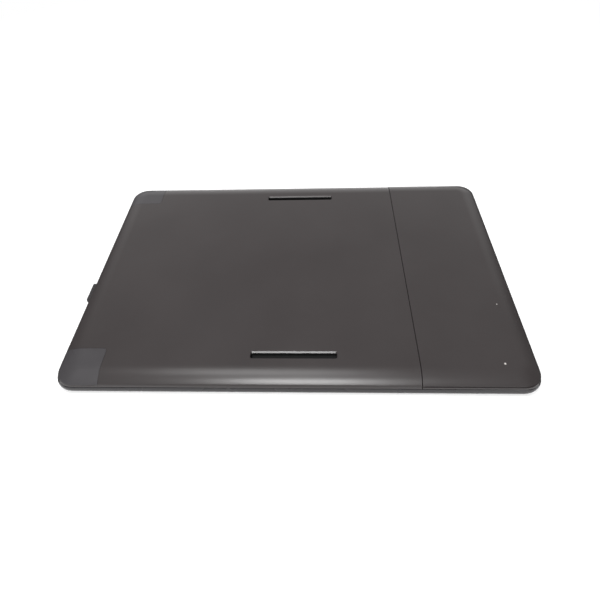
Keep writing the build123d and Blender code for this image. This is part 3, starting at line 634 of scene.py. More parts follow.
# White polyester film: bright and slightly pearly
white_film = moulded_plastic(
    "white_polyester_film", "#e9e9e6", "#f3f3f1", 0.42, 0.8 * mm, 0.003 * mm, 30 * mm
)
dress(white_film, "reflector_sheet")
# White-masked laminate of the lamp bar: matt white with faint tracks
white_laminate = circuit_laminate("white_masked_laminate", "#dededa", "#e8e8e4", "#c9b27a", 0.45)
dress(white_laminate, "backlight_bar")
# Zinc-coated sheet steel: pale grey with soft streaks along the roll
zinc_steel = worked_metal(
    "zinc_coated_sheet_steel", "#8f9293", "#a6a9aa", 0.36, 1.2 * mm, (1, 8, 1), 0.004 * mm
)
tray_edge = 0.1 * mm
eased_copy("display_tray", "screen_tray", "housing", "sheet_steel", zinc_steel, tray_edge)
# Cured silicone over phosphor: opaque yellow lamps along the white bar
lamp_phosphor = moulded_plastic(
    "yellow_lamp_phosphor", "#d9b93a", "#e3c650", 0.3, 0.2 * mm, 0.01 * mm, 4 * mm
)
bar_low, bar_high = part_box("backlight_bar")
lamp_corner = Vector((lamp_length / 2, lamp_proud, (bar_high.z - bar_low.z) / 4))
lamp = block("lamp", -lamp_corner, lamp_corner)
bar_x = (bar_low.x + bar_high.x) / 2
bar_z = (bar_low.z + bar_high.z) / 2
lamp_places = [(bar_x + step, bar_high.y, bar_z) for step in even_row(bar_high.x - bar_low.x, lamp_pitch)]
set_copies("bar_lamps", lamp, lamp_phosphor, lamp_places, "housing", "lamp_strip")

# Pen sensor
# A thin laminate over the whole screen whose loops feel the pen, under a tinned steel shield that
# keeps the boards' noise away from it.
loop_pitch = 8 * mm
loop_line_share = 0.035
# Sensor laminate: glossy dark green, ruled with fine copper squares
sensor_laminate = ruled_sheet(
    "copper_looped_laminate", "#143f2a", "#16452e", "#8a5a34", loop_pitch, loop_line_share, 0.3, 1.5
)
dress(sensor_laminate, "pen_sensor_board")
# Tinned steel sheet: silvery and slightly cloudy, drawn out along the roll
tinned_steel = worked_metal(
    "tinned_sheet_steel", "#a9a9a5", "#bdbdb9", 0.27, 1.5 * mm, (1, 10, 1), 0.003 * mm
)
dress(tinned_steel, "sensor_shield")

# Middle frame
# A magnesium casting that stiffens the body and carries the boards. It is left as cast, apart from
# its machined bosses, and screws down to the bezel.
frame_edge = 0.15 * mm
# Die-cast magnesium: dull grey with a pebbled skin
cast_magnesium = worked_metal("cast_magnesium", "#6f7172", "#858788", 0.52, 0.7 * mm, (1, 1, 1), 0.05 * mm)
eased_copy("middle_frame", "cast_frame", "housing", "cast_metal", cast_magnesium, frame_edge)

# Main, pen and display boards
# Three black circuit boards on the frame's bosses. Their chips are black epoxy packages with
# rows of tinned leads, soldered to the boards.
lead_pitch = 0.8 * mm
lead_length = 0.9 * mm
lead_width = 0.35 * mm
lead_height = 0.2 * mm
lead_share = 0.84
chip_edge = 0.12 * mm
# Glass-epoxy laminate under black solder mask: the tracks show only as a change in sheen
black_laminate = circuit_laminate("black_masked_laminate", "#131516", "#1b1e20", "#c9c4b4", 0.3)
# Transfer-moulded epoxy: charcoal with a fine sandy face
chip_resin = moulded_plastic("black_moulding_epoxy", "#171718", "#1e1e1f", 0.55, 0.25 * mm, 0.01 * mm, 6 * mm)
# Matt tin over copper leads: pale grey and soft
matt_tin = worked_metal("matt_tinned_copper", "#b0afa9", "#c4c3bd", 0.34, 0.4 * mm, (1, 1, 1), 0.003 * mm)


def lead_rows(name, boxes, along_x):
    """Leads along two opposite sides of each chip."""
    size = (lead_width, lead_length) if along_x else (lead_length, lead_width)
    lead = block("lead", (-size[0] / 2, -size[1] / 2, 0), (size[0] / 2, size[1] / 2, lead_height))
    places = []
    for low, high in boxes:
        side = (high.x - low.x) if along_x else (high.y - low.y)
        middle = (low + high) / 2
        for step in even_row(side * lead_share, lead_pitch):
            if along_x:
                places += [(middle.x + step, y, low.z) for y in (low.y, high.y)]
            else:
                places += [(x, middle.y + step, low.z) for x in (low.x, high.x)]
    set_copies(name, lead, matt_tin, places, "housing", "chip_resin")


for board in ("main_board", "pen_board", "display_board"):
    dress(black_laminate, board)
    boxes = solid_boxes(f"{board}_chips")
    lead_rows(f"{board}_leads_long", boxes, True)
    lead_rows(f"{board}_leads_cross", boxes, False)
    eased_copy(f"{board}_chips", f"{board}_packages", "housing", "chip_resin", chip_resin, chip_edge)

# Flat cables and their connectors
# Copper conductors between two films of amber polyimide run from board to board, and end in
# connectors of ivory nylon.
conductor_pitch = 1.0 * mm


def flat_cable(name, direction):
    """Amber film with its conductors showing as paler lines across the given direction."""
    material, tree, place = new_material(name)
    bands = add(
        tree,
        "ShaderNodeTexWave",
        {"Vector": place, "Scale": wave_period / conductor_pitch},
        bands_direction=direction,
    ).outputs["Fac"]
    tone = add(tree, "ShaderNodeMix", {"Factor": bands, "A": "#7a4312", "B": "#b5742c"}, data_type="RGBA")
    relief = add(tree, "ShaderNodeBump", {"Height": bands, "Distance": 0.02 * mm, "Strength": 0.5})
    return finished_material(material, {"Base Color": tone, "Roughness": 0.22, "Normal": relief})


# Polyimide film over copper: glossy amber with lengthwise lines
dress(flat_cable("amber_film_along_x", "Y"), "key_ribbon")
dress(flat_cable("amber_film_along_y", "X"), "display_ribbon", "sensor_ribbon", "video_ribbon")
connector_edge = 0.1 * mm
# Nylon in its own ivory colour: satin, a little translucent to the eye
ivory_nylon = moulded_plastic("ivory_nylon", "#cdc6b2", "#d8d2c0", 0.42, 0.3 * mm, 0.004 * mm, 5 * mm)
eased_copy(
    "ribbon_connectors", "board_connectors", "housing", "connector_plastic", ivory_nylon, connector_edge
)

# Power button and status light
# A moulded bar that stands out of the short edge away from the keys and presses a switch behind
# it. A clear pipe beside it carries the light of a small lamp to the edge.
button_edge = 0.3 * mm
# Satin ABS, a shade deeper than the covers, smoother and so with a brighter top
button_plastic = moulded_plastic(
    "smooth_charcoal_abs", "#2c2a2b", "#343233", 0.28, 0.3 * mm, 0.003 * mm, 15 * mm
)
eased_copy("power_button", "power_button_bar", "power_button", "button_plastic", button_plastic, button_edge)
dress(spring_steel, "power_switch")


def clear_rod():
    """Clear moulded acrylic with polished ends."""
    material, tree, place = new_material("clear_moulded_acrylic")
    flow = add(tree, "ShaderNodeTexNoise", {"Vector": place, "Scale": 1 / (2 * mm), "Detail": 2.0})
    haze = add(tree, "ShaderNodeMapRange", {"Value": flow, "To Min": 0.04, "To Max": 0.12})
    return finished_material(
        material, {"Base Color": "#eef2f4", "Roughness": haze, "IOR": 1.49, "Transmission Weight": 1.0}
    )


# Clear acrylic: glassy, and brightest at its ends
dress(clear_rod(), "status_light_pipe")
# White silicone over a small lamp: matt and milky
milky_silicone = moulded_plastic("milky_silicone", "#dcdcd6", "#e6e6e1", 0.5, 0.3 * mm, 0.003 * mm, 3 * mm)
dress(milky_silicone, "status_led")

# Cable socket
# A drawn shell of nickel-plated steel set back in the same edge, with a black contact block in it
# and a row of gold-plated contacts.
socket_edge = 0.08 * mm
# Nickel over drawn steel: bright, slightly warm, with faint lines along the draw
nickel_steel = worked_metal(
    "nickel_plated_steel", "#b9b6ae", "#cac7c0", 0.2, 0.5 * mm, (0.2, 1, 1), 0.002 * mm
)
# Black polyester moulding: even, slightly shiny
contact_black = moulded_plastic(
    "black_moulded_polyester", "#111112", "#161617", 0.38, 0.2 * mm, 0.003 * mm, 6 * mm
)
# Hard gold over nickel: warm and bright
hard_gold = worked_metal("hard_gold_plate", "#c9992f", "#dcb04a", 0.24, 0.2 * mm, (0.2, 1, 1), 0.002 * mm)
eased_copy("cable_socket", "socket_shell", "housing", "socket_steel", nickel_steel, socket_edge)
dress(contact_black, "socket_insulator")
contact_boxes = solid_boxes("socket_contacts")
contact_size = contact_boxes[0][1] - contact_boxes[0][0]
contact = block("contact", -contact_size / 2, contact_size / 2)
contact_places = [tuple((low + high) / 2) for low, high in contact_boxes]
set_copies(
    "socket_contact_row", contact, hard_gold, contact_places, "housing", "gold_contacts", "socket_contacts"
)

# Slot tubs
# A small moulded tub of black ABS closes each stand slot from inside. It is wider than the slot's
# mouth, so that the hook of a stand can turn and catch under the cover.

# Rough black ABS with almost no shine, its real black deepened to painted shade so that the slots read as
# black holes
slot_shade_black = moulded_plastic("rough_black_abs_painted_shade", "#060606", "#0a0a0a", 0.8, 0.4 * mm, 0.02 * mm, 10 * mm)
dress(slot_shade_black, "slot_tub_near", "slot_tub_far")

# Rear cover
# One thin shell of moulded ABS over the screen end, spark-eroded to a fine satin. It drops inside
# the rim on a lip, ribs stiffen its back, and two screws under the corner pads hold it down.
cover_wall = 1.8 * mm
cover_inset = 1.3 * mm
cover_foot = 6.6 * mm
edge_run_share = 0.85
edge_tight_radius = 3.4 * mm
arc_steps = 12
corner_steps = 32
round_steps = 8
cover_edge = 0.25 * mm
lip_inset = 2.75 * mm
lip_thickness = 0.9 * mm
lip_foot = 5.4 * mm
cover_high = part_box("rear_cover")[1]
end_low, end_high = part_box("rear_end_cover")
# Two small pale specks near the key end: place in plan and radius
cover_pale_specks = ((159.5 * mm, -105 * mm, 1.1 * mm), (168.4 * mm, -47.9 * mm, 0.7 * mm))


def pale_speck_share(tree, place):
    """Share of pale speck at each point of the covers, full inside the specks."""
    found = 0.0
    for x, y, radius in cover_pale_specks:
        away = add(tree, "ShaderNodeVectorMath", {0: place, 1: (x, y, cover_high.z)}, operation="DISTANCE")
        edge = add(tree, "ShaderNodeMapRange", {"Value": away, "From Min": radius, "From Max": 0.3 * radius})
        found = add(tree, "ShaderNodeMath", {0: found, 1: edge}, operation="MAXIMUM")
    return found


def satin_cover_plastic():
    """Charcoal ABS of the covers: an eroded grain, slow clouds of tone and gloss, and a few pale specks."""
    material, tree, place = new_material("satin_charcoal_abs")
    clouds = add(tree, "ShaderNodeTexNoise", {"Vector": place, "Scale": 1 / (55 * mm), "Detail": 3.0})
    speckle = add(tree, "ShaderNodeTexNoise", {"Vector": place, "Scale": 1 / (1.1 * mm), "Detail": 2.0})
    grain = add(tree, "ShaderNodeTexNoise", {"Vector": place, "Scale": 1 / (0.45 * mm), "Detail": 2.0})
    mottled = add(tree, "ShaderNodeMix", {"Factor": 0.2, "A": clouds, "B": speckle})
    plain = add(tree, "ShaderNodeMix", {"Factor": mottled, "A": "#2f2b2b", "B": "#393535"}, data_type="RGBA")
    pale_specks = pale_speck_share(tree, place)
    tone = add(tree, "ShaderNodeMix", {"Factor": pale_specks, "A": plain, "B": "#c9c5c1"}, data_type="RGBA")
    sheen = add(tree, "ShaderNodeMapRange", {
        "Value": mottled, "From Min": 0.2, "From Max": 0.8, "To Min": 0.28, "To Max": 0.32
    })
    relief = add(tree, "ShaderNodeBump", {"Height": grain, "Distance": 0.008 * mm, "Strength": 0.5})
    return finished_material(
        material, {"Base Color": tone, "Roughness": sheen, "Normal": relief, "IOR": 1.5}
    )


# Satin ABS, spark-eroded: charcoal with soft wide highlights over a fine grain
satin_abs = satin_cover_plastic()


def wrapped_form_tree():
    """Geometry Nodes that sweep a section round a rounded outline and close its two open crests."""
    tree, given = new_shape_tree(
        "wrapped_form",
        Section="Object",
        Length="Float",
        Width="Float",
        Corner_radius="Float",
        Corner_steps="Int",
        Outer_crest="Float",
        Inner_crest="Float",
        Finish="Material",
    )
    sides = add(
        tree, "GeometryNodeCurvePrimitiveQuadrilateral", {"Width": given["Length"], "Height": given["Width"]}
    )
    curved = add(tree, "GeometryNodeCurveSplineType", {"Curve": sides}, spline_type="BEZIER")
    rounded = add(
        tree, "GeometryNodeFilletCurve", {"Curve": curved, "Radius": given["Corner radius"]}, mode="BEZIER"
    )
    path = add(
        tree, "GeometryNodeSetSplineResolution", {"Geometry": rounded, "Resolution": given["Corner steps"]}
    )
    section = add(tree, "GeometryNodeObjectInfo", {"Object": given["Section"]})
    swept = add(
        tree, "GeometryNodeCurveToMesh", {"Curve": path, "Profile Curve": section.outputs["Geometry"]}
    )
    faces_beside = add(tree, "GeometryNodeInputMeshEdgeNeighbors")
    free = add(tree, "FunctionNodeCompare", {2: faces_beside, 3: 1}, data_type="INT", operation="EQUAL")
    place = add(tree, "GeometryNodeInputPosition")
    height = add(tree, "ShaderNodeSeparateXYZ", {0: place}).outputs["Z"]
    both = add(tree, "ShaderNodeMath", {0: given["Outer crest"], 1: given["Inner crest"]}, operation="ADD")
    middle = add(tree, "ShaderNodeMath", {0: both, 1: 2.0}, operation="DIVIDE")
    join = add(tree, "GeometryNodeJoinGeometry", {0: swept})
    for crest, side in (("Outer crest", "GREATER_THAN"), ("Inner crest", "LESS_THAN")):
        on_side = add(tree, "FunctionNodeCompare", {0: height, 1: middle}, data_type="FLOAT", operation=side)
        rim = add(tree, "FunctionNodeBooleanMath", {0: free, 1: on_side}, operation="AND")
        loop = add(tree, "GeometryNodeMeshToCurve", {"Mesh": swept, "Selection": rim})
        flat = add(tree, "GeometryNodeFillCurve", {"Curve": loop}, mode="NGONS")
        lift = add(tree, "ShaderNodeCombineXYZ", {"Z": given[crest]})
        plate = add(tree, "GeometryNodeTransform", {"Geometry": flat, "Translation": lift})
        tree.links.new(plate.outputs[0], join.inputs[0])
    closed = add(tree, "GeometryNodeMergeByDistance", {"Geometry": join, "Distance": same_point})
    return finished_tree(tree, closed, given["Finish"])


def section_curve(points):
    """Open section as a curve: outward distance and height, drawn as the sweep reads them."""
    curve = bpy.data.curves.new("section", "CURVE")
    curve.dimensions = "3D"
    line = curve.splines.new("POLY")
    line.points.add(len(points) - 1)
    for point, (outward, height) in zip(line.points, points):
        point.co = (outward, -height, 0, 1)
    return new_object("section", curve)


def crowned_edge(outer, foot, crest, run_share, depth):
    """Edge section from foot to crest as two tangent arcs, drawn in by a depth."""
    run = outer * run_share
    rise = crest - foot
    tight = edge_tight_radius
    wide = ((run - tight) ** 2 + rise ** 2 - tight ** 2) / (2 * (rise - tight))
    lean = math.atan2(run - tight, wide - rise)
    points = []
    for step in range(arc_steps + 1):
        tilt = math.pi / 2 + (lean - math.pi / 2) * step / arc_steps
        points.append((-tight + (tight - depth) * math.sin(tilt), foot + (tight - depth) * math.cos(tilt)))
    for step in range(1, arc_steps + 1):
        tilt = lean * (1 - step / arc_steps)
        points.append(
            (-run + (wide - depth) * math.sin(tilt), crest - wide + (wide - depth) * math.cos(tilt))
        )
    return points


wrapped_form = wrapped_form_tree()


def crowned_form(name, edge, depth, wall, finish, lip=False):
    """Form with an edge of two arcs and a flat back, drawn in by a depth.

    It is a shell with that wall, or solid down to its foot where the wall is zero. Where asked,
    a lip runs round a shell's foot, inside the bezel's rim.
    """
    inset, foot, crest, run_share = edge
    outer = outline_radius - inset
    outside = crowned_edge(outer, foot, crest, run_share, depth)
    inside = crowned_edge(outer, foot, crest, run_share, depth + wall) if wall else [(outside[-1][0], foot)]
    if lip:
        lip_out = inset - lip_inset
        lip_in = lip_out - lip_thickness
        kept = [point for point in inside if point[0] < lip_in]
        inside = [(lip_out, foot), (lip_out, lip_foot), (lip_in, lip_foot)] + kept
    holder = section_curve(outside[::-1] + inside)
    form = made_by(wrapped_form, name, {
        "Section": holder,
        "Length": tablet_length - 2 * inset,
        "Width": tablet_width - 2 * inset,
        "Corner radius": outer,
        "Corner steps": corner_steps,
        "Outer crest": crest - depth,
        "Inner crest": crest - depth - wall if wall else foot,
        "Finish": finish,
    })
    bpy.data.objects.remove(holder)
    reshape(form, turn_outwards)
    return form


def finish_outer(piece, finish, bevel_width, slot, node):
    """Fill the corners of an outer piece, ease its edges and settle it in place of its CAD node."""
    fill_corners(piece)
    smooth_finish(piece, finish, bevel_width)
    settle(piece, "housing", slot, node)


def prism(outline, low, high, top=None):
    """Closed upright body between two heights, drawn out to a second outline where one is given."""
    mesh = bmesh.new()
    rings = []
    for points, height in ((outline, low), (top or outline, high)):
        rings.append([mesh.verts.new((x, y, height)) for x, y in points])
    mesh.faces.new(rings[0][::-1])
    mesh.faces.new(rings[1])
    count = len(outline)
    for i in range(count):
        j = (i + 1) % count
        mesh.faces.new((rings[0][i], rings[0][j], rings[1][j], rings[1][i]))
    return body_from(mesh, "prism")


def rounded_outline(x, y, length, width, radius):
    """Points of a rounded rectangle in plan, anticlockwise."""
    points = []
    for turn, side_x, side_y in ((0, 1, 1), (90, -1, 1), (180, -1, -1), (270, 1, -1)):
        for step in range(round_steps + 1):
            angle = math.radians(turn + 90 * step / round_steps)
            corner_x = x + side_x * (length / 2 - radius)
            corner_y = y + side_y * (width / 2 - radius)
            points.append((corner_x + radius * math.cos(angle), corner_y + radius * math.sin(angle)))
    return points


main_edge = (cover_inset, cover_foot, cover_high.z, edge_run_share)
rear_cover = crowned_form("rear_cover_shell", main_edge, 0, cover_wall, satin_abs, lip=True)
ceiling = cover_high.z - cover_wall

# Half of the rear cover that ends at the seam, with room in its lip for the edge parts
seam_gap = 0.5 * mm
seam_x = end_low.x - seam_gap / 2
edge_parts_low = -50 * mm
edge_parts_high = 62 * mm
frame_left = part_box("middle_frame")[0].x
beyond = tablet_length
main_half = block("main_half", (-beyond, -beyond, -beyond), (seam_x - seam_gap / 2, beyond, beyond))
apply_boolean(rear_cover, main_half, "INTERSECT")
lip_room_high = (frame_left, edge_parts_high, cover_foot - same_point)
apply_boolean(rear_cover, block("lip_room", (-beyond, edge_parts_low, -beyond), lip_room_high), "DIFFERENCE")

# Ribs under the back and the thick ring round each slot, then the slots themselves: a straight
# mouth dished wide on its far side, lined with a near-black collar: painted shade for the slot's own walls
rib_thickness = 1.0 * mm
rib_height = 0.9 * mm
rib_columns = 6
rib_rows = 3
rib_from_side = 24 * mm
slot_length = 67.4 * mm
slot_width = 4.7 * mm
slot_radius = 1.2 * mm
slot_far_lip = 1.25 * mm
slot_near_lip = 0.7 * mm
slot_end_lip = 0.4 * mm
slot_lip_depth = 0.75 * mm
collar_wall = 0.6 * mm
collar_gap = 0.05 * mm
slot_from_side = 26 * mm
mouth_wall = 1.8 * mm
mouth_depth = 2.8 * mm
pad_length = 37.6 * mm


def rib_tree():
    """Geometry Nodes that lay a field of crossing ribs from their counts and sizes."""
    tree, given = new_shape_tree(
        "rib_field",
        Middle="Vector",
        Length="Float",
        Width="Float",
        Height="Float",
        Thickness="Float",
        Columns="Int",
        Rows="Int",
        Finish="Material",
    )
    join = add(tree, "GeometryNodeJoinGeometry")
    for count, along, across in (("Columns", "X", "Y"), ("Rows", "Y", "X")):
        span = {"X": given["Length"], "Y": given["Width"]}
        pitch = add(tree, "ShaderNodeMath", {0: span[along], 1: given[count]}, operation="DIVIDE")
        gaps = add(tree, "ShaderNodeMath", {0: given[count], 1: 1.0}, operation="SUBTRACT")
        reach = add(tree, "ShaderNodeMath", {0: pitch, 1: gaps}, operation="MULTIPLY")
        back = add(tree, "ShaderNodeMath", {0: reach, 1: -0.5}, operation="MULTIPLY")
        first = add(tree, "ShaderNodeCombineXYZ", {along: back})
        start = add(tree, "ShaderNodeVectorMath", {0: given["Middle"], 1: first}, operation="ADD")
        step = add(tree, "ShaderNodeCombineXYZ", {along: pitch})
        line = add(
            tree, "GeometryNodeMeshLine", {"Count": given[count], "Start Location": start, "Offset": step}
        )
        size = add(tree, "ShaderNodeCombineXYZ", {
            along: given["Thickness"], across: span[across], "Z": given["Height"]
        })
        bar = add(tree, "GeometryNodeMeshCube", {"Size": size})
        bars = add(tree, "GeometryNodeInstanceOnPoints", {"Points": line, "Instance": bar})
        tree.links.new(bars.outputs[0], join.inputs[0])
    return finished_tree(tree, join, given["Finish"])


rib_left = -tablet_length / 2 + pad_length
rib_right = seam_x - seam_gap / 2
ribs = made_by(rib_tree(), "ribs", {
    "Middle": ((rib_left + rib_right) / 2, 0, ceiling - rib_height / 2 + same_point),
    "Length": rib_right - rib_left,
    "Width": tablet_width - 2 * rib_from_side,
    "Height": rib_height,
    "Thickness": rib_thickness,
    "Columns": rib_columns,
    "Rows": rib_rows,
    "Finish": satin_abs,
})
apply_boolean(rear_cover, ribs, "UNION", crossing=True)
slot_y = tablet_width / 2 - slot_from_side


def slot_outline(y, growth=0):
    """Outline of a slot in plan, grown on all sides."""
    length = slot_length + 2 * growth
    return rounded_outline(0, y, length, slot_width + 2 * growth, slot_radius + growth)


for y in (-slot_y, slot_y):
    slot = slot_outline(y)
    mouth = prism(slot_outline(y, mouth_wall), cover_high.z - mouth_depth, cover_high.z - cover_wall / 2)
    apply_boolean(rear_cover, mouth, "UNION")
    apply_boolean(rear_cover, prism(slot, cover_foot, cover_high.z + slot_lip_depth), "DIFFERENCE")
    # The dish is drawn as far above the back as below it, so its upper outline has twice each lip
    dished = rounded_outline(
        0,
        y + slot_far_lip - slot_near_lip,
        slot_length + 4 * slot_end_lip,
        slot_width + 2 * (slot_far_lip + slot_near_lip),
        slot_radius + 2 * slot_end_lip,
    )
    lip_low = cover_high.z - slot_lip_depth
    lip = prism(slot, lip_low, cover_high.z + slot_lip_depth, dished)
    apply_boolean(rear_cover, lip, "DIFFERENCE")
    # The cover's own charcoal wall round each mouth is cut away and a near-black collar set in its place:
    # painted shade
    room = prism(slot_outline(y, collar_wall), cover_foot, lip_low - collar_gap)
    apply_boolean(rear_cover, room, "DIFFERENCE")
    around = slot_outline(y, collar_wall - collar_gap)
    shade_collar = prism(around, cover_high.z - mouth_depth + collar_gap, lip_low - 2 * collar_gap)
    apply_boolean(shade_collar, prism(slot, cover_foot, cover_high.z), "DIFFERENCE")
    shade_collar.name = "slot_collar_far" if y > 0 else "slot_collar_near"
    smooth_finish(shade_collar, slot_shade_black, collar_gap)
    settle(shade_collar, "housing", "tub_plastic")

# Flange that the cover reaches out under the end cover, and the screws' holes
flange_length = 9.5 * mm
flange_root = 1.8 * mm
flange_depth = 2.6 * mm
flange_wall = 1.5 * mm
flange_from_side = 26 * mm
screw_hole = 1.05 * mm
hole_sides = 16
flange_reach = tablet_width / 2 - flange_from_side
flange_low = cover_high.z - flange_depth - flange_wall
flange_start = (rib_right - flange_root, -flange_reach, flange_low)
for reach, height in ((0, cover_wall / 2), (flange_length, flange_depth)):
    flange = block("flange", flange_start, (rib_right + reach, flange_reach, cover_high.z - height))
    apply_boolean(rear_cover, flange, "UNION")


def round_outline(x, y, radius, sides):
    """Points of a circle in plan, anticlockwise."""
    turns = [2 * math.pi * i / sides for i in range(sides)]
    return [(x + radius * math.cos(t), y + radius * math.sin(t)) for t in turns]


for x, y, _ in screw_places("flange_screws"):
    hole = round_outline(x, y, screw_hole, hole_sides)
    apply_boolean(rear_cover, prism(hole, flange_low - mm, cover_high.z - flange_depth + mm), "DIFFERENCE")

# Corner pads
# Two pads of soft rubber let flush into the corners, glued over the screws that hold the cover.
pad_thickness = 1.0 * mm
pad_width = 32 * mm
pad_foot = 8.4 * mm
pad_radius = 3 * mm
pad_gap = 0.2 * mm
pad_edge = 0.3 * mm
boss_radius = 3.0 * mm
boss_foot = 7.6 * mm
# Thermoplastic rubber: dead matt, a shade lighter and cooler than the cover around it
pad_rubber = moulded_plastic("dark_grey_rubber", "#373537", "#3f3d3f", 0.38, 0.6 * mm, 0.02 * mm, 20 * mm)


def pad_block(side, growth):
    """Upright block that bounds a pad, with a rounded inner corner."""
    length = pad_length + outline_radius
    width = pad_width + outline_radius
    x = -tablet_length / 2 + pad_length + growth - length / 2
    y = side * (tablet_width / 2 - pad_width - growth + width / 2)
    return prism(rounded_outline(x, y, length, width, pad_radius + growth), pad_foot - growth, beyond)


for x, y, _ in screw_places("cover_screws"):
    boss = round_outline(x, y, boss_radius, hole_sides)
    apply_boolean(rear_cover, prism(boss, boss_foot, ceiling + same_point), "UNION")
for side, name in ((-1, "corner_pad_near"), (1, "corner_pad_far")):
    recess = pad_block(side, pad_gap)
    bed = crowned_form("bed", main_edge, pad_thickness + pad_gap, 0, satin_abs)
    apply_boolean(recess, bed, "DIFFERENCE")
    apply_boolean(rear_cover, recess, "DIFFERENCE")
    pad = crowned_form(name, main_edge, 0, pad_thickness, pad_rubber)
    apply_boolean(pad, pad_block(side, 0), "INTERSECT")
    finish_outer(pad, pad_rubber, pad_edge, "pad_rubber", "corner_pads")
for x, y, top in screw_places("cover_screws"):
    head_seat = top - head_height
    shank_hole = prism(round_outline(x, y, screw_hole, hole_sides), boss_foot - mm, head_seat + mm)
    apply_boolean(rear_cover, shank_hole, "DIFFERENCE")
    head_hole = prism(round_outline(x, y, head_radius + pad_gap, hole_sides), head_seat, cover_high.z)
    apply_boolean(rear_cover, head_hole, "DIFFERENCE")
finish_outer(rear_cover, satin_abs, cover_edge, "back_plastic", "rear_cover")

# Cover over the key end
# A second moulding of the same satin ABS, a little prouder than the first. It snaps over the
# flange that the main cover reaches out under it, and a groove runs round its edge.
end_inset = 1.0 * mm
end_foot = 6.9 * mm
end_run_share = 0.8
end_skirt = 7.3 * mm
skirt_inset = 2.6 * mm
groove_low = 8.5 * mm
groove_high = 9.4 * mm
groove_depth = 0.8 * mm
end_edge = (end_inset, end_foot, end_high.z, end_run_share)
end_cover = crowned_form("end_cover_shell", end_edge, 0, cover_wall, satin_abs, lip=True)
end_half = block("end_half", (seam_x + seam_gap / 2, -beyond, -beyond), (beyond, beyond, beyond))
apply_boolean(end_cover, end_half, "INTERSECT")
shadow_line = block("shadow_line", (seam_x, -beyond, 0), (beyond, beyond, end_skirt))
inner_length = tablet_length - 2 * skirt_inset
inner_width = tablet_width - 2 * skirt_inset
kept = rounded_outline(0, 0, inner_length, inner_width, outline_radius - skirt_inset)
apply_boolean(shadow_line, prism(kept, -beyond, beyond), "DIFFERENCE")
apply_boolean(end_cover, shadow_line, "DIFFERENCE")
groove = block("groove", (-beyond, -beyond, groove_low), (beyond, beyond, groove_high))
apply_boolean(groove, crowned_form("core", end_edge, groove_depth, 0, satin_abs), "DIFFERENCE")
apply_boolean(end_cover, groove, "DIFFERENCE")
finish_outer(end_cover, satin_abs, cover_edge, "back_plastic", "rear_end_cover")

# Floor, light and camera
# A white sweep under soft studio light, seen from the photographed angle. Beside both ends it turns
# to dark card, which only the object's reflections show, so that the rim stays dark there.
floor_reach = 4.0
floor_glow_share = 0.3
glow_from = 0.35
glow_full = 1.0
card_from = tablet_length / 2 - 4 * mm
card_near = 6 * mm - tablet_width / 2
floor_corners = [(x * floor_reach, y * floor_reach, 0) for x, y in ((-1, -1), (1, -1), (1, 1), (-1, 1))]
floor_mesh = bpy.data.meshes.new("floor")
floor_mesh.from_pydata(floor_corners, [], [(0, 1, 2, 3)])
floor = new_object("floor", floor_mesh)


def seen_share(tree):
    """One for rays that see the backdrop itself, straight, mirrored or through glass."""
    rays = add(tree, "ShaderNodeLightPath").outputs
    seen = rays["Is Camera Ray"]
    for kind in ("Is Glossy Ray", "Is Transmission Ray"):
        seen = add(tree, "ShaderNodeMath", {0: seen, 1: rays[kind]}, operation="MAXIMUM")
    return seen


# White paper: it glows to plain white where it is seen and still takes the object's shadow
white_sweep, tree, place = new_material("white_paper_sweep")
fibres = add(tree, "ShaderNodeTexNoise", {"Vector": place, "Scale": 1 / (2 * mm), "Detail": 2.0})
white = add(tree, "ShaderNodeMix", {"Factor": fibres, "A": "#fafafa", "B": "#ffffff"}, data_type="RGBA")
paper = add(tree, "ShaderNodeBsdfDiffuse", {"Color": white})
glow = add(tree, "ShaderNodeEmission", {"Color": "#ffffff", "Strength": 1.0})
away = add(tree, "ShaderNodeVectorMath", {0: place}, operation="LENGTH")
glow_share = add(tree, "ShaderNodeMapRange", {
    "Value": away, "From Min": glow_from, "From Max": glow_full, "To Min": floor_glow_share, "To Max": 1.0
})
share = add(tree, "ShaderNodeMath", {0: seen_share(tree), 1: glow_share}, operation="MULTIPLY")
mixed = add(tree, "ShaderNodeMixShader", {0: share, 1: paper, 2: glow})
axes = add(tree, "ShaderNodeSeparateXYZ", {0: place}).outputs
aside = add(tree, "ShaderNodeMath", {0: axes["X"]}, operation="ABSOLUTE")
carded = add(tree, "ShaderNodeLightPath").outputs["Is Glossy Ray"]
for way, start in ((aside, card_from), (axes["Y"], card_near)):
    past = add(tree, "ShaderNodeMath", {0: way, 1: start}, operation="GREATER_THAN")
    carded = add(tree, "ShaderNodeMath", {0: carded, 1: past}, operation="MULTIPLY")
card = add(tree, "ShaderNodeBsdfDiffuse", {"Color": "#1a1a1a"})
backdrop = add(tree, "ShaderNodeMixShader", {0: carded, 1: mixed, 2: card})
add(tree, "ShaderNodeOutputMaterial", {"Surface": backdrop})
floor_mesh.materials.append(white_sweep)

# Studio: a white sweep up to the height that the far edge mirrors, a dim ceiling above it and dark
# flags at both ends
sweep_top = math.sin(math.radians(24))
ceiling_edge = math.sin(math.radians(44))
ceiling_level = 0.34
fill_level = 0.42
flag_from = 0.5
flag_full = 0.78
flag_level = 0.12
world = bpy.data.worlds.new("studio")
bpy.context.scene.world = world
world.use_nodes = True
world.node_tree.nodes.clear()
tree = world.node_tree
direction = add(tree, "ShaderNodeTexCoord").outputs["Generated"]
axes = add(tree, "ShaderNodeSeparateXYZ", {0: direction}).outputs
shown = add(tree, "ShaderNodeMapRange", {
    "Value": axes["Z"],
    "From Min": sweep_top,
    "From Max": ceiling_edge,
    "To Min": 1.0,
    "To Max": ceiling_level,
})
sideways = add(tree, "ShaderNodeMath", {0: axes["X"]}, operation="ABSOLUTE")
flags = add(tree, "ShaderNodeMapRange", {
    "Value": sideways, "From Min": flag_from, "From Max": flag_full, "To Min": 1.0, "To Max": flag_level
})
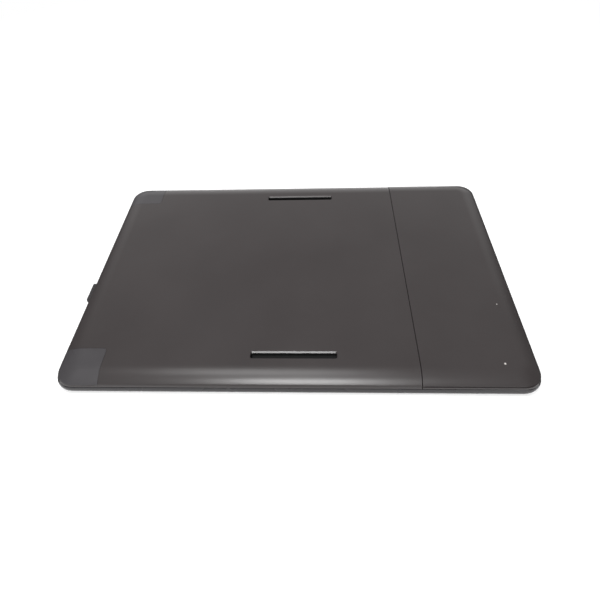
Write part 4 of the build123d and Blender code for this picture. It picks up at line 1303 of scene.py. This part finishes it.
mirrored = add(tree, "ShaderNodeMath", {0: shown, 1: flags}, operation="MULTIPLY")
straight = add(tree, "ShaderNodeLightPath").outputs["Is Camera Ray"]
studio = add(tree, "ShaderNodeMix", {"Factor": straight, "A": mirrored, "B": 1.0})
level = add(tree, "ShaderNodeMix", {"Factor": seen_share(tree), "A": fill_level, "B": studio})
sky = add(tree, "ShaderNodeBackground", {"Color": "#ffffff", "Strength": level})
add(tree, "ShaderNodeOutputWorld", {"Surface": sky})


def soft_lamp(name, place, width, height, power, mirrored=True):
    """Soft box that faces the middle of the object, with its width level along the object's length."""
    lamp = bpy.data.lights.new(name, "AREA")
    lamp.shape = "RECTANGLE"
    lamp.size = width
    lamp.size_y = height
    lamp.energy = power
    holder = new_object(name, lamp)
    back = Vector(place).normalized()
    up = back.cross((1, 0, 0)).normalized()
    turn = Matrix((up.cross(back), up, back)).transposed().to_4x4()
    holder.matrix_world = Matrix.Translation(place) @ turn
    holder.visible_glossy = mirrored


soft_lamp("key_light", place=(-0.05, -0.73, 1.31), width=0.5, height=0.24, power=12.5)
soft_lamp("top_light", place=(-0.2, -0.05, 1.49), width=0.75, height=0.42, power=6)
soft_lamp("rim_light", place=(0.75, -1.3, 0.2), width=0.4, height=0.12, power=1.2)
soft_lamp("shadow_light", place=(-0.45, 0.85, 1.25), width=0.45, height=0.25, power=14, mirrored=False)

# Camera, where it shows the outline, seam and slots as photographed: a tilt, a small turn about
# the upright and a small pan about the camera's own upright axis
focal_pixels = 418.904
photo_pixels = 600
sensor_width = 36
camera_tilt = math.radians(50.9309)
camera_pan = math.radians(-2.5693)
camera_turn = math.radians(0.1902)
camera_place = Vector((19.03, -269.83, 293.5)) * mm
nearest_seen = 10 * mm
camera_axes = (
    Matrix.Rotation(camera_pan, 3, "Z")
    @ Matrix.Rotation(camera_tilt, 3, "X")
    @ Matrix.Rotation(camera_turn, 3, "Z")
)
lens = bpy.data.cameras.new("camera")
lens.sensor_width = sensor_width
lens.lens = sensor_width * focal_pixels / photo_pixels
lens.clip_start = nearest_seen
camera = new_object("camera", lens)
facing = Matrix((camera_axes[0], camera_axes[2], -camera_axes[1])).transposed().to_4x4()
camera.matrix_world = Matrix.Translation(camera_place) @ facing
bpy.context.scene.camera = camera
bpy.context.scene.view_settings.view_transform = "Standard"
